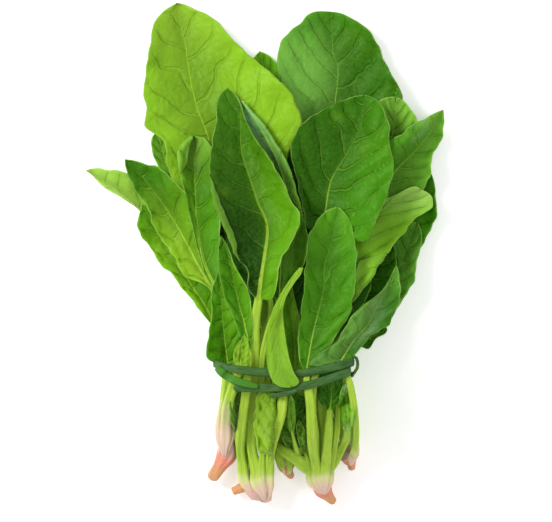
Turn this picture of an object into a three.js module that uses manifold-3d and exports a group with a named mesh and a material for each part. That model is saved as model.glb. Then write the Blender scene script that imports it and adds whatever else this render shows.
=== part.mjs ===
// Spinach bunch lying on its back: whole plants with their crowns and taproot stubs,
// held by a flat tie. Millimetres, +Z up, +Y toward the leaf tips, origin on the
// surface under the middle of the bunch.

import * as THREE from 'three';
import { mergeVertices } from 'three/addons/utils/BufferGeometryUtils.js';
import Module from 'manifold-3d';

const wasm = await Module();
wasm.setup();

// Driving dimensions
const bladeThickness = 0.9;
const stalkHalfWidth = 3.3;
const stalkHalfHeight = 2.9;
const crownStalkHalfWidth = 2.2;
const crownStalkHalfHeight = 2.1;
const settleGap = 0.55;
const cupScale = 1.5;
const cell = 1;
const bandThickness = 1.3;
const bandWidth = 4.4;
const bandGap = 0.5;
const columns = 4;

// Height field of everything that is already laid down, one value per cell
const field = {
  minX: -130,
  minY: -165,
  countX: 260,
  countY: 330,
};
field.height = new Float32Array(field.countX * field.countY);

function cellIndex(x, y) {
  const i = Math.floor((x - field.minX) / cell);
  const j = Math.floor((y - field.minY) / cell);
  if (i < 1 || j < 1 || i > field.countX - 2 || j > field.countY - 2) return -1;
  return j * field.countX + i;
}

function layDown(x, y, z) {
  const at = cellIndex(x, y);
  if (at >= 0 && z > field.height[at]) field.height[at] = z;
}

// Calls visit(wa, wb, wc) at points spread over a triangle, no more than step apart in plan
function overTriangle(a, b, c, step, visit) {
  const longest = Math.max(
    Math.hypot(a.x - b.x, a.y - b.y),
    Math.hypot(b.x - c.x, b.y - c.y),
    Math.hypot(c.x - a.x, c.y - a.y),
  );
  const n = Math.max(1, Math.ceil(longest / step));
  for (let i = 0; i <= n; i += 1) {
    for (let j = 0; j <= n - i; j += 1) {
      visit(1 - (i + j) / n, i / n, j / n);
    }
  }
}

// Point and direction at a share of the length of a line through the given points
function lineThrough(points) {
  const path = new THREE.CatmullRomCurve3(
    points.map((p) => new THREE.Vector3(p[0], p[1], 0)),
    false,
    'centripetal',
  );
  path.arcLengthDivisions = 120;
  return path;
}

// Splits a facet with corners a, b, c, d into two triangles. Upper and lower skins are
// split along the same line, so that a twisted blade stays the same thickness.
function halves(a, b, c, d, isUpper) {
  return isUpper ? [[a, b, d], [b, c, d]] : [[a, b, c], [a, c, d]];
}

// One closed skin around rows of rings: every ring has the same number of points
function skinGeometry(rings, upperCount) {
  const around = rings[0].length;
  const rows = rings.length;
  const shell = new THREE.CylinderGeometry(1, 1, 1, around, rows - 1, false);
  const place = shell.attributes.position;
  const ringStart = (row) => row * (around + 1);
  for (let row = 0; row < rows; row += 1) {
    for (let k = 0; k <= around; k += 1) {
      const p = rings[row][k % around];
      place.setXYZ(ringStart(row) + k, p.x, p.y, p.z);
    }
  }
  // The two end caps follow the side rows: a centre per facet, then the rim
  let at = rows * (around + 1);
  for (const ring of [rings[0], rings[rows - 1]]) {
    const middle = new THREE.Vector3();
    for (const p of ring) middle.addScaledVector(p, 1 / around);
    for (let k = 0; k < around; k += 1) {
      place.setXYZ(at, middle.x, middle.y, middle.z);
      at += 1;
    }
    for (let k = 0; k <= around; k += 1) {
      const p = ring[k % around];
      place.setXYZ(at, p.x, p.y, p.z);
      at += 1;
    }
  }
  const index = shell.index.array;
  for (let k = upperCount; k < around; k += 1) {
    for (let row = 0; row < rows - 1; row += 1) {
      const a = ringStart(row) + k;
      const b = ringStart(row + 1) + k;
      const facets = halves(a, b, b + 1, a + 1, false);
      index.set(facets.flat(), (k * (rows - 1) + row) * 6);
    }
  }
  shell.deleteAttribute('normal');
  shell.deleteAttribute('uv');
  const skin = mergeVertices(shell, 1e-5);
  return outward(skin);
}

// Turns the facets round when the enclosed volume comes out negative
function outward(geometry) {
  const place = geometry.attributes.position;
  const index = geometry.index.array;
  const a = new THREE.Vector3();
  const b = new THREE.Vector3();
  const c = new THREE.Vector3();
  let volume = 0;
  for (let f = 0; f < index.length; f += 3) {
    a.fromBufferAttribute(place, index[f]);
    b.fromBufferAttribute(place, index[f + 1]);
    c.fromBufferAttribute(place, index[f + 2]);
    volume += a.dot(b.cross(c));
  }
  if (volume < 0) {
    for (let f = 0; f < index.length; f += 3) {
      const swap = index[f];
      index[f] = index[f + 1];
      index[f + 1] = swap;
    }
  }
  geometry.computeVertexNormals();
  return geometry;
}

function smoothStep(a, b, x) {
  const t = Math.min(1, Math.max(0, (x - a) / (b - a)));
  return t * t * (3 - 2 * t);
}

// A leaf is a list of sections. Each column of a section has a point on the upper skin
// and one on the lower skin; the two outer columns close to a single edge point.
function stalkSection(x, y, dirX, dirY, halfWidth, halfHeight, count) {
  const columnList = [];
  for (let k = 0; k <= count; k += 1) {
    const angle = Math.PI * (1 - k / count);
    const side = halfWidth * Math.cos(angle);
    const rise = halfHeight * Math.sin(angle);
    const px = x + dirY * side;
    const py = y - dirX * side;
    columnList.push({
      top: new THREE.Vector3(px, py, halfHeight + rise),
      under: new THREE.Vector3(px, py, halfHeight - rise),
    });
  }
  columnList.stiff = true;
  return columnList;
}

function bladeSection(leaf, t, row, rib, left, right) {
  const c = rib.getPointAt(t);
  const along = rib.getTangentAt(t);
  const edges = [left.getPointAt(t), right.getPointAt(t)];
  const swell = Math.pow(Math.sin(Math.PI * Math.min(0.97, 0.06 + 0.9 * t)), 0.7);
  const mids = [{ s: 0, z: 0, dir: null, reach: 0 }];
  for (const side of [0, 1]) {
    const sign = side === 0 ? -1 : 1;
    const reach = Math.max(1.8, edges[side].distanceTo(c));
    const square = new THREE.Vector3(along.y, -along.x, 0).multiplyScalar(sign * reach);
    const dir = edges[side].clone().sub(c).lerp(square, smoothStep(0.85, 0.98, t)).normalize();
    const narrow = Math.min(1, reach / 12);
    const wave = narrow * leaf.ruffle * Math.sin(row * 2.3 + side * 1.7 + leaf.phase);
    const lift = narrow * leaf.lift[side] * swell * cupScale;
    const roll = leaf.roll && leaf.roll.side === side ? leaf.roll : null;
    const list = [{ share: 0.5, z: 0.28 * lift - 0.3 * wave }];
    if (roll) {
      const bend = smoothStep(roll.from, roll.from + 0.14, t)
        * (1 - smoothStep(roll.to - 0.12, roll.to, t));
      const width = Math.min(roll.width, 0.7 * reach);
      list.push({ share: 0.86 + 0.14 * bend, z: 0.8 * lift + 0.4 * roll.height * bend });
      list.push({
        share: 1 - (width / reach) * bend,
        z: lift + wave * (1 - bend) + roll.height * bend,
      });
    } else {
      list.push({ share: 1, z: lift + wave });
    }
    for (const item of list) {
      const entry = { s: sign * item.share * reach, z: item.z, dir, reach: item.share * reach };
      if (side === 0) mids.unshift(entry);
      else mids.push(entry);
    }
  }
  const lowest = Math.min(...mids.map((p) => p.z));
  const section = mids.map((p, k) => {
    const before = mids[Math.max(0, k - 1)];
    const after = mids[Math.min(mids.length - 1, k + 1)];
    const ds = after.s - before.s;
    const dz = after.z - before.z;
    const size = Math.hypot(ds, dz);
    const isEnd = k === 0 || k === mids.length - 1;
    const half = isEnd ? 0 : bladeThickness / 2;
    const normalS = (-dz / size) * half;
    const normalZ = (ds / size) * half;
    const sign = Math.sign(p.s);
    const at = (flip) => {
      const reach = p.reach + sign * normalS * flip;
      const x = p.dir ? c.x + p.dir.x * reach : c.x;
      const y = p.dir ? c.y + p.dir.y * reach : c.y;
      return new THREE.Vector3(x, y, p.z - lowest + bladeThickness / 2 + normalZ * flip);
    };
    return { top: at(1), under: at(-1) };
  });
  section.stiff = mids[0].reach + mids[mids.length - 1].reach < 10;
  return section;
}

function ringOf(section) {
  const ring = section.map((column) => column.top);
  for (let k = section.length - 2; k > 0; k -= 1) ring.push(section[k].under);
  return ring;
}

function leafSkin(sections) {
  return skinGeometry(sections.map(ringOf), sections[0].length - 1);
}

// Lifts the sections until every facet clears what is already laid down,
// then adds them to the height field
function settle(sections, firstFree) {
  const rows = sections.length;
  const last = sections[0].length - 1;
  const around = 2 * last;
  const columnOf = (k) => (k <= last ? k : around - k);
  const lift = sections.map((section) => section.map(() => 0));
  const nearAt = (x, y) => {
    const at = cellIndex(x, y);
    return at < 0 ? 0 : field.height[at];
  };
  const middle = Math.round(last / 2);
  const base = sections.map((section) => {
    const p = section[middle].under;
    const over = nearAt(p.x, p.y);
    return over > 0 ? over + settleGap : 0;
  });
  for (let pass = 0; pass < 3; pass += 1) {
    for (let row = 1; row < rows - 1; row += 1) {
      base[row] = Math.max(base[row], 0.5 * (base[row - 1] + base[row + 1]));
    }
  }
  for (let row = firstFree; row < rows; row += 1) {
    for (let k = 0; k <= last; k += 1) lift[row][k] = base[row];
  }
  const rings = sections.map(ringOf);
  const corner = (row, k) => {
    const p = rings[row][k % around];
    return { x: p.x, y: p.y, z: p.z, row, column: columnOf(k % around) };
  };
  const facets = [];
  for (let row = Math.max(0, firstFree - 1); row < rows - 1; row += 1) {
    for (let k = 0; k < around; k += 1) {
      const a = corner(row, k);
      const b = corner(row + 1, k);
      const c = corner(row + 1, k + 1);
      const d = corner(row, k + 1);
      facets.push(...halves(a, b, c, d, k < last));
    }
  }
  const clear = (full) => {
    let worst = 0;
    for (const [a, b, c] of facets) {
      if (Math.min(a.row, b.row, c.row) < firstFree && firstFree > 0) continue;
      const za = a.z + lift[a.row][a.column];
      const zb = b.z + lift[b.row][b.column];
      const zc = c.z + lift[c.row][c.column];
      let most = 0;
      let weights = null;
      overTriangle(a, b, c, 0.7, (wa, wb, wc) => {
        const x = wa * a.x + wb * b.x + wc * c.x;
        const y = wa * a.y + wb * b.y + wc * c.y;
        const over = nearAt(x, y);
        const want = over > 0 ? over + settleGap : 0;
        const short = want - (wa * za + wb * zb + wc * zc);
        if (short > most) {
          most = short;
          weights = [wa, wb, wc];
        }
      });
      if (!weights) continue;
      worst = Math.max(worst, most);
      const total = weights[0] ** 2 + weights[1] ** 2 + weights[2] ** 2;
      [a, b, c].forEach((p, n) => {
        const push = full ? most : (most * weights[n]) / total;
        lift[p.row][p.column] += push;
      });
    }
    return worst;
  };
  // Stalks and narrow tips keep their outline, so the columns of such a section rise together
  const keepOutline = () => {
    sections.forEach((section, row) => {
      if (section.stiff) lift[row].fill(Math.max(...lift[row]));
    });
  };
  for (let pass = 0; pass < 8; pass += 1) {
    clear(false);
    keepOutline();
  }
  for (let pass = 0; pass < 2; pass += 1) {
    for (let row = Math.max(1, firstFree); row < rows; row += 1) {
      for (let k = 0; k <= last; k += 1) {
        const back = lift[row - 1][k];
        const on = lift[Math.min(rows - 1, row + 1)][k];
        const inner = lift[row][Math.max(0, k - 1)];
        const outer = lift[row][Math.min(last, k + 1)];
        const mean = 0.25 * (back + on + inner + outer);
        lift[row][k] = Math.max(lift[row][k], mean);
      }
    }
  }
  keepOutline();
  for (let pass = 0; pass < 4; pass += 1) {
    if (clear(true) < 0.01) break;
    keepOutline();
  }
  sections.forEach((section, row) => {
    section.forEach((column, k) => {
      column.top.z += lift[row][k];
      if (column.under !== column.top) column.under.z += lift[row][k];
    });
  });
  markSkin(sections);
}

function markSkin(sections) {
  const around = ringOf(sections[0]).length;
  for (let row = 0; row < sections.length - 1; row += 1) {
    const near = ringOf(sections[row]);
    const far = ringOf(sections[row + 1]);
    for (let k = 0; k < around; k += 1) {
      const on = (k + 1) % around;
      const facets = halves(near[k], far[k], far[on], near[on], k < around / 2);
      for (const [a, b, c] of facets) {
        overTriangle(a, b, c, 0.5, (wa, wb, wc) => {
          const x = wa * a.x + wb * b.x + wc * c.x;
          const y = wa * a.y + wb * b.y + wc * c.y;
          layDown(x, y, wa * a.z + wb * b.z + wc * c.z);
        });
      }
    }
  }
}

// Plants: where each crown sits, how big it is and where its taproot stub points
const crowns = [
  {
    name: 'crown_left', at: [-21.5, -98.5], size: [8.2, 10.5], length: 17,
    root: [[-22, -116], [-26, -123], [-31.5, -131.5]], rootSize: [4.6, 3.3],
  },
  {
    name: 'crown_front_left', at: [-5, -125.5], size: [11.2, 10.5], length: 15,
    root: [[-3, -140], [0, -143], [1.5, -145.5]], rootSize: [6.5, 4.2],
  },
  {
    name: 'crown_front_right', at: [33, -125.5], size: [9.2, 10.5], length: 12,
    root: [[34, -137], [37, -141], [40.5, -145]], rootSize: [4.2, 2.0],
  },
  {
    name: 'crown_right', at: [49, -111.5], size: [6.8, 9.5], length: 10,
    root: [[49, -121], [49, -124], [48.5, -127]], rootSize: [3.6, 2.2],
  },
  {
    name: 'crown_middle', at: [11.5, -112.5], size: [7.2, 9.5], length: 14,
    root: [[12.5, -126], [14, -128.5], [15.5, -131]], rootSize: [3.4, 2.2],
  },
];

// Leaves from the lowest to the topmost. stalk: crown to blade foot. rib: blade foot to tip.
// left and right: the blade's two edges. lift: how far each edge stands above the rib.
const leaves = [
  oval('leaf_under_1', [[8, -112], [12, -66], [10, -40]], [8, -14], [-6, 92], 30),
  oval('leaf_under_2', [[-17, -98], [-13, -66], [-15, -40]], [-20, -15], [-50, 58], 21),
  oval('leaf_under_3', [[46, -111], [37, -66], [38, -40]], [44, -15], [74, 52], 20),
  oval('leaf_under_4', [[8, -112], [3.6, -66], [0, -30]], [-6, 0], [-36, 118], 28),
  oval('leaf_under_5', [[27, -125], [28.6, -66], [28, -30]], [32, 0], [44, 112], 27),
  {
    name: 'leaf_left_far', stalk: [[-25.5, -98], [-21.5, -68], [-33, -36], [-47, -8]],
    rib: [[-55, 4], [-75, 27], [-90, 39], [-104, 48]],
    left: [[-62, 10], [-71, 25], [-77, 28], [-83, 32], [-90, 36], [-96, 40], [-100, 45]],
    right: [[-56, 20], [-66, 38], [-80, 46.5], [-89, 48], [-95, 49.4], [-100, 49.2]],
    lift: [3, 4],
  },
  {
    name: 'leaf_left_low', stalk: [[-21, -98], [-21.5, -68], [-27, -48]],
    rib: [[-33, -33], [-48, -11], [-60, 8], [-71, 28]],
    left: [[-38, -29], [-43.5, -23], [-50, -18], [-53, -12], [-61, -7], [-65, 2], [-72, 10], [-74, 17]],
    right: [[-33, -22], [-40, 0], [-50, 18], [-62, 28]],
    lift: [3, 2],
  },
  {
    name: 'leaf_right_far', stalk: [[52, -111], [45.3, -68], [47.5, -54], [57, -32]],
    rib: [[66, -12], [78, 8], [88, 28], [96, 47]],
    left: [[60, 0], [66, 20], [76, 36], [88, 46]],
    right: [[76, -10], [86, -4], [90, 3], [94.3, 11], [98, 16], [99.3, 23.5], [99, 35], [98, 42]],
    lift: [2, 4],
  },
  {
    name: 'leaf_top_small', stalk: [[14.5, -112], [12, -68], [4, -10]],
    rib: [[0, 66], [1, 95], [-3, 117]],
    left: [[-10, 75], [-13, 95], [-9, 110]],
    right: [[8, 78], [9.5, 98], [7, 110], [1, 115.6]],
    lift: [3, 3],
  },
  {
    name: 'leaf_right_bit', stalk: [[52, -111], [45.3, -68], [45.8, -60]],
    rib: [[53, -54], [63, -48], [71, -44.5]],
    left: [[57, -50], [62, -43], [69, -40.5]],
    right: [[60, -56], [64.5, -49], [69.5, -47.4]],
    lift: [2, 2],
  },
  oval('leaf_under_6', [[14.5, -112], [20.3, -66], [22, -45]], [26, -30], [50, 66], 20),
  {
    name: 'leaf_back_right', stalk: [[33, -125], [20.3, -68], [25, -10], [32, 40]],
    rib: [[35, 54], [41, 92], [42, 107.6], [39.2, 116], [38.8, 126], [38, 140]],
    left: [
      [20, 64], [10, 85], [9, 100], [6.7, 110.5], [8.7, 122], [12.3, 126], [16.7, 130],
      [21.8, 135], [26, 139], [30, 140.2],
    ],
    right: [
      [58, 60], [75, 76], [80.5, 90], [78.3, 94.5], [74.7, 100], [70, 110], [65.3, 120],
      [62.5, 125.7], [60, 130], [55, 133], [50, 136], [43.5, 139.5],
    ],
    lift: [5, 6],
  },
  {
    name: 'leaf_right_small', stalk: [[46, -111], [37, -68], [48, -10], [60, 34]],
    rib: [[67, 52], [74, 70], [76, 90.2]],
    left: [[58, 60], [60, 75], [64, 87], [70, 90]],
    right: [[80, 58], [88, 66], [89, 76], [86.3, 80], [83.4, 84], [80.5, 88]],
    lift: [3, 3],
  },
  {
    name: 'leaf_left_small', stalk: [[-17, -98], [-13, -68], [-28, -20], [-40, 14]],
    rib: [[-46, 28], [-56.5, 50], [-62.5, 70.5]],
    left: [[-55, 36], [-61, 49], [-65, 57], [-66.3, 63], [-65.8, 67.5]],
    right: [[-46, 42], [-50, 55], [-57, 66]],
    lift: [3, 2],
  },
  oval('leaf_under_7', [[14.5, -112], [20.3, -66], [14, -50]], [12, -40], [22, 50], 19),
  {
    name: 'leaf_back_left', stalk: [[8, -112], [3.6, -68], [-5, -20], [-14, 12]],
    rib: [
      [-20, 29], [-28, 51], [-35, 73], [-39, 83], [-43, 99], [-46.4, 121], [-49, 132],
      [-51, 145],
    ],
    left: [
      [-46, 35], [-51, 39], [-57, 50], [-57, 63], [-66, 70], [-71, 75], [-67.6, 81],
      [-70, 90], [-69.7, 99.6], [-67.4, 114], [-64.5, 132], [-60, 139.5],
    ],
    right: [
      [-3, 33], [10, 48], [16, 62], [23, 77], [18, 84], [16.7, 90.6], [8.7, 99.6],
      [3, 104], [-3.6, 110], [-11, 116], [-19.6, 124], [-22.5, 129], [-30, 136],
      [-40, 141], [-47, 144.6],
    ],
    lift: [6, 8],
  },
  {
    name: 'leaf_right_point', stalk: [[52, -111], [45.3, -68], [47.5, -50], [56, -15], [62, 12]],
    rib: [[66, 27], [75, 47], [85.6, 58], [94, 68], [103.3, 83]],
    left: [[60, 40], [64, 56], [73, 65], [81, 71], [89, 76], [94, 79], [100, 82]],
    right: [[76, 28], [88, 33], [94.3, 40], [95.7, 49.6], [97, 56], [100, 62], [103, 68], [104, 76]],
    lift: [4, 6],
  },
  {
    name: 'leaf_right_ribbed', stalk: [[52, -111], [45.3, -68], [46.5, -58]],
    rib: [[60, -44], [70, -26], [78, -8], [84, 8], [88, 18]],
    left: [[56, -34], [60, -15], [68, 5], [79, 16]],
    right: [
      [68, -43], [78.3, -29], [82.7, -22], [85.6, -17.8], [87.4, -12.8], [87, -7],
      [88.5, -2.6], [90, 3], [91, 12],
    ],
    lift: [3, 4],
  },
  oval('leaf_under_8', [[-7, -125], [-4.7, -66], [-6, -48]], [-8, -36], [-40, 30], 17),
  {
    name: 'leaf_right_inner', stalk: [[27, -125], [28.6, -68], [36, -52]],
    rib: [[45, -40], [56, -22], [64, -5], [72, 9]],
    left: [[44, -30], [50, -12], [58, 2], [66, 9.5]],
    right: [[54, -38], [66, -26], [74, -12], [76, 0]],
    lift: [3, 3],
  },
  oval('leaf_under_9', [[33, -125], [37, -66], [36, -55]], [38, -44], [58, 22], 15),
  {
    name: 'leaf_right_curled', stalk: [[33, -125], [35.8, -106], [37.8, -86], [37, -68], [43, -48]],
    rib: [[48, -33], [57, -8], [68, 12], [80, 25], [92, 37]],
    left: [[45, -20], [50, 4], [60, 20], [72.5, 28.6], [77, 32], [82.7, 37.3], [88, 38.4]],
    right: [
      [51.5, -27], [58, -18.6], [65.3, -7.7], [72.5, 2.5], [79, 10.4], [85.6, 18.4],
      [92.8, 24], [98, 27], [97.5, 30], [95, 34.4],
    ],
    lift: [4, 3], roll: { side: 1, from: 0.05, to: 0.62, width: 13, height: 5 },
  },
  oval('leaf_under_10', [[-1, -125], [2, -66], [-1, -45]], [-5, -30], [-17, 60], 18),
  {
    name: 'leaf_middle_right', stalk: [[33, -125], [34, -106], [28.6, -68], [30, -20]],
    rib: [[33, 11], [35, 25], [37.7, 40], [41, 47.4], [47, 57], [53, 68.4], [56, 78.6], [57.3, 91.3]],
    left: [
      [24, 14], [21.8, 27], [19.6, 34.4], [16.7, 49.6], [13.8, 60.5], [16.7, 67.7],
      [20.3, 72.8], [23.2, 77], [34.8, 83], [40.6, 86.6], [48, 89.5],
    ],
    right: [
      [50, 6], [59.5, 7.5], [63, 16], [69, 30], [73.2, 41.6], [74, 52], [71.8, 61],
      [71.8, 70], [70.3, 77], [68.5, 83], [66, 87.3], [62, 90],
    ],
    lift: [5, 7],
  },
  {
    name: 'leaf_left_point', stalk: [[-25.5, -98], [-21.5, -68], [-23, -45]],
    rib: [[-28, -26], [-38, -8], [-52, 18], [-66, 38], [-81, 54.3]],
    left: [
      [-32, -20], [-37.7, -16.7], [-46.4, -13.5], [-51.5, -4], [-55, 1.7], [-61, 9.7],
      [-65.3, 17.7], [-67.4, 26.4], [-71.8, 31.5], [-75.4, 36.5], [-80, 47.4], [-81.4, 52],
    ],
    right: [
      [-25, -16], [-29, 0], [-37, 20], [-46, 35], [-56, 45], [-61, 50], [-66.7, 50.7],
      [-74.7, 53.6],
    ],
    lift: [4, 5],
  },
  oval('leaf_under_11', [[33, -125], [30, -66], [36, -58]], [42, -52], [62, -8], 12),
  {
    name: 'leaf_front_narrow', stalk: [[27, -125], [23, -117], [16, -103], [17, -72]],
    rib: [[16.5, -62], [15, -45], [12, -28], [12, -6]],
    left: [[12, -54], [9, -40], [7, -25], [8, -12]],
    right: [[20.5, -60], [21.6, -55], [21, -49], [19, -42], [17, -34], [15.8, -26.6], [14.5, -14]],
    lift: [2, 3],
  },
  {
    name: 'leaf_front_oval', stalk: [[30, -125], [27.5, -112], [26, -76], [22, -63]],
    rib: [[22.5, -56], [28, -44], [34, -20], [34, -8], [39, 9], [42, 26.5]],
    left: [
      [20.5, -51.7], [19.7, -43.4], [21.8, -23.6], [23, -9], [25.4, 12], [29.7, 18],
      [35.5, 24.6],
    ],
    right: [
      [30.6, -54], [39.6, -46.6], [45.4, -39.5], [48.6, -34], [51, -18.6], [52.6, -2],
      [50.8, 12], [47, 22],
    ],
    lift: [4, 4],
  },
  {
    name: 'leaf_right_rolled', stalk: [[37, -125], [41.5, -115], [45.5, -100], [45.5, -86], [44, -68]],
    rib: [[44, -57.5], [53, -49], [62, -40], [70, -26], [74.5, -9]],
    left: [
      [38.5, -56], [38.5, -52.5], [42.8, -47], [47, -39], [50, -35.2], [58, -28.7],
      [65.3, -24.4], [69, -19], [71, -14],
    ],
    right: [
      [49, -56], [55, -52], [60, -47], [71, -41.8], [72.5, -38], [75.4, -33.8],
      [77.6, -27.3], [77.6, -18.6], [76, -11],
    ],
    lift: [3, 2],
  },
  {
    name: 'leaf_left_channel', stalk: [[-17, -98], [-13, -68], [-20, -40]],
    rib: [[-27, -22], [-34.8, -5.5], [-38.8, 15], [-40, 29], [-40.6, 44], [-41, 67.5]],
    left: [[-33, -16], [-38, 0], [-42.8, 19], [-46.4, 36.5], [-49.3, 47], [-49.7, 59.7], [-46, 65]],
    right: [[-23, -18], [-25.5, -8], [-26, 4], [-25, 22], [-26, 40], [-29, 56], [-34, 66]],
    lift: [7, 7],
  },
  {
    name: 'leaf_front_dark', stalk: [[3, -125], [4.5, -116], [9, -100], [10, -68]],
    rib: [[8, -29], [9, -5], [11, 20], [6, 45], [-2, 65], [-14, 88]],
    left: [[2, -22], [-4, 0], [-6, 30], [-14, 55], [-19, 76]],
    right: [
      [10.2, -25], [13.8, -17], [19, -12], [23, -5.5], [24.9, 6.8], [22.5, 20],
      [20.3, 27.8], [17.4, 38], [13, 51.8], [6.5, 62.6], [-0.7, 74], [-9, 83],
    ],
    lift: [3, 7], roll: { side: 1, from: 0.4, to: 1.1, width: 6, height: 3 },
  },
  {
    name: 'leaf_left_lobed', stalk: [[-25, -98], [-21.5, -72]],
    rib: [[-22, -58.5], [-24, -45], [-25, -28], [-26.5, -11]],
    left: [
      [-29, -58.5], [-33.6, -58.5], [-33.2, -54.6], [-32, -49], [-31.3, -39.5],
      [-30.3, -33], [-31, -24], [-29, -16],
    ],
    right: [[-17, -57.5], [-15.8, -49], [-15.5, -43.4], [-17.7, -39.5], [-21, -31.8], [-23.5, -20]],
    lift: [3, 3],
  },
  {
    name: 'leaf_front_fold', stalk: [[-5, -125], [-8, -106], [-7, -84], [-6.2, -63], [-5.8, -42]],
    rib: [
      [-3.8, -28], [-1.5, -10.6], [1.5, 13], [0, 20.6], [-3.6, 27.8], [-6.5, 36.5],
      [-10.2, 47.4], [-13, 56], [-14, 63.6], [-13.8, 74], [-15, 85], [-21.4, 95],
    ],
    left: [
      [-10.2, -19.3], [-9.2, -10], [-14.5, -4.8], [-17, -1], [-22.5, 13], [-26.8, 22],
      [-30, 31.5], [-31, 41.6], [-31.9, 51], [-30.5, 62], [-29.7, 69], [-27.6, 77],
      [-28.3, 84.4], [-25, 93],
    ],
    right: [
      [4, -27], [7.3, -16], [9, -4], [14.5, 4], [17.4, 10.4], [21, 19], [19, 25.3],
      [13.4, 31], [13.4, 36.5], [10, 41.6], [5, 50], [2, 56], [-3, 62], [-8, 70],
      [-12.3, 80], [-13.8, 86.6], [-17.4, 92],
    ],
    lift: [7, 9], roll: { side: 0, from: 0.36, to: 0.72, width: 5, height: 3 },
  },
  {
    name: 'leaf_front_strip', stalk: [[-14, -125], [-15, -113], [-12.5, -81], [-10.5, -66]],
    rib: [[-10, -54], [-11, -45], [-15, -28], [-18.5, -12], [-22, 2], [-25, 10]],
    left: [[-13, -48], [-17.7, -38], [-21, -30.5], [-24.2, -21.5], [-26, -12], [-26.8, 2]],
    right: [[-7.5, -49], [-7.4, -39.5], [-8, -30], [-10, -20], [-14, -13], [-17, -8.6], [-21, 4]],
    lift: [3, 3],
  },
  {
    name: 'leaf_front_bit', stalk: [[-19, -98], [-13.5, -72]],
    rib: [[-14, -62], [-13.5, -55], [-12, -42]],
    left: [[-18.5, -58], [-17, -52], [-15, -46]],
    right: [[-10, -60], [-9, -52], [-9.5, -46]],
    lift: [2, 2],
  },
];

// Young leaves that stop short of the tie
const youngLeaves = [
  {
    name: 'young_leaf_middle', stalk: [[14.5, -112], [15, -110]],
    rib: [[15.5, -108], [16, -98], [17, -84]],
    left: [[11, -104], [10, -95], [12, -86]],
    right: [[20, -104], [23, -96], [21, -87]],
    lift: [2, 3],
  },
  {
    name: 'young_leaf_right', stalk: [[46, -111], [45, -106]],
    rib: [[42, -101], [38, -92], [36, -84]],
    left: [[35, -98], [30.5, -92], [31, -87]],
    right: [[44, -97], [44.5, -91], [41, -86]],
    lift: [2, 2],
  },
  {
    name: 'young_leaf_edge', stalk: [[51, -111], [49.5, -106]],
    rib: [[48.5, -103], [48, -92], [48, -82]],
    left: [[45, -99], [44.5, -91], [46, -85]],
    right: [[51, -98], [51.5, -91], [50.5, -85]],
    lift: [2, 2],
  },
  {
    name: 'young_leaf_left', stalk: [[-18.5, -98], [-18, -96]],
    rib: [[-17.5, -94], [-17.2, -87], [-17.5, -81]],
    left: [[-20, -92], [-20.5, -87], [-20, -83]],
    right: [[-15.5, -92], [-14.5, -87], [-15, -83]],
    lift: [1, 1],
  },
  {
    name: 'young_leaf_side', stalk: [[26, -124], [18, -119.5], [9, -114]],
    rib: [[6.5, -112], [2.5, -106], [0, -97]],
    left: [[2, -110], [-1.5, -104], [-2, -99]],
    right: [[8, -108], [7, -102], [4, -97]],
    lift: [1, 2],
  },
  {
    name: 'young_leaf_front', stalk: [[0, -125], [-1, -120]],
    rib: [[-2, -113], [-3.5, -102], [-1, -93], [2.5, -85]],
    left: [[-5, -108], [-5.5, -98], [-3.5, -89]],
    right: [[4, -110], [7.5, -102], [9, -94], [6.5, -87]],
    lift: [2, 3],
  },
];

// The leaf whose blade folds back over the tie
const overTie = {
  name: 'leaf_over_tie',
  stalk: [[-2, -125], [-1, -106], [0, -84], [-1.8, -65], [0.3, -42], [4, -27]],
  rib: [[5.5, -25], [7, -34], [8.2, -48], [10, -62], [14, -75.5]],
  left: [[3.5, -29], [2.6, -38], [1.5, -50], [3.6, -62], [6.5, -70], [9, -75]],
  right: [[10.3, -27], [12, -38], [14.5, -46], [15.5, -58], [16.8, -66], [20, -73]],
};

// A plain pointed oval blade between its foot and its tip
function oval(name, stalk, foot, tip, half) {
  const along = new THREE.Vector2(tip[0] - foot[0], tip[1] - foot[1]);
  const across = new THREE.Vector2(-along.y, along.x).normalize();
  const edge = (side) => [0.08, 0.25, 0.45, 0.65, 0.82, 0.94].map((t) => {
    const wide = side * half * Math.pow(Math.sin(Math.PI * Math.pow(t, 0.8)), 0.8);
    return [
      foot[0] + along.x * t + across.x * wide,
      foot[1] + along.y * t + across.y * wide,
    ];
  });
  return { name, stalk, rib: [foot, tip], left: edge(1), right: edge(-1), lift: [4, 4], plain: true };
}

function stalkSections(path, rows, size, count) {
  const line = lineThrough(path);
  const sections = [];
  for (let i = 0; i <= rows; i += 1) {
    const t = i / rows;
    const p = line.getPointAt(t);
    const dir = i === 0 ? new THREE.Vector3(0, 1, 0) : line.getTangentAt(t);
    const grow = smoothStep(0, 0.3, t);
    const thin = 1 - 0.3 * smoothStep(0.7, 1, t);
    const halfWidth = (crownStalkHalfWidth + (stalkHalfWidth - crownStalkHalfWidth) * grow) * thin;
    const halfHeight = (crownStalkHalfHeight + (stalkHalfHeight - crownStalkHalfHeight) * grow) * thin;
    sections.push(stalkSection(p.x, p.y, dir.x, dir.y, halfWidth * size, halfHeight * size, count));
  }
  return sections;
}

function bladeSections(leaf, rows, firstRow) {
  const foot = leaf.rib[0];
  const tip = leaf.rib[leaf.rib.length - 1];
  const rib = lineThrough(leaf.rib);
  const left = lineThrough([foot, ...leaf.left, tip]);
  const right = lineThrough([foot, ...leaf.right, tip]);
  const sections = [];
  for (let i = 1; i <= rows; i += 1) {
    const t = 0.985 * (i / rows);
    sections.push(bladeSection(leaf, t, firstRow + i, rib, left, right));
  }
  return sections;
}

function lengthOf(points) {
  let length = 0;
  for (let i = 1; i < points.length; i += 1) {
    length += Math.hypot(points[i][0] - points[i - 1][0], points[i][1] - points[i - 1][1]);
  }
  return length;
}

const built = [];

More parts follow.
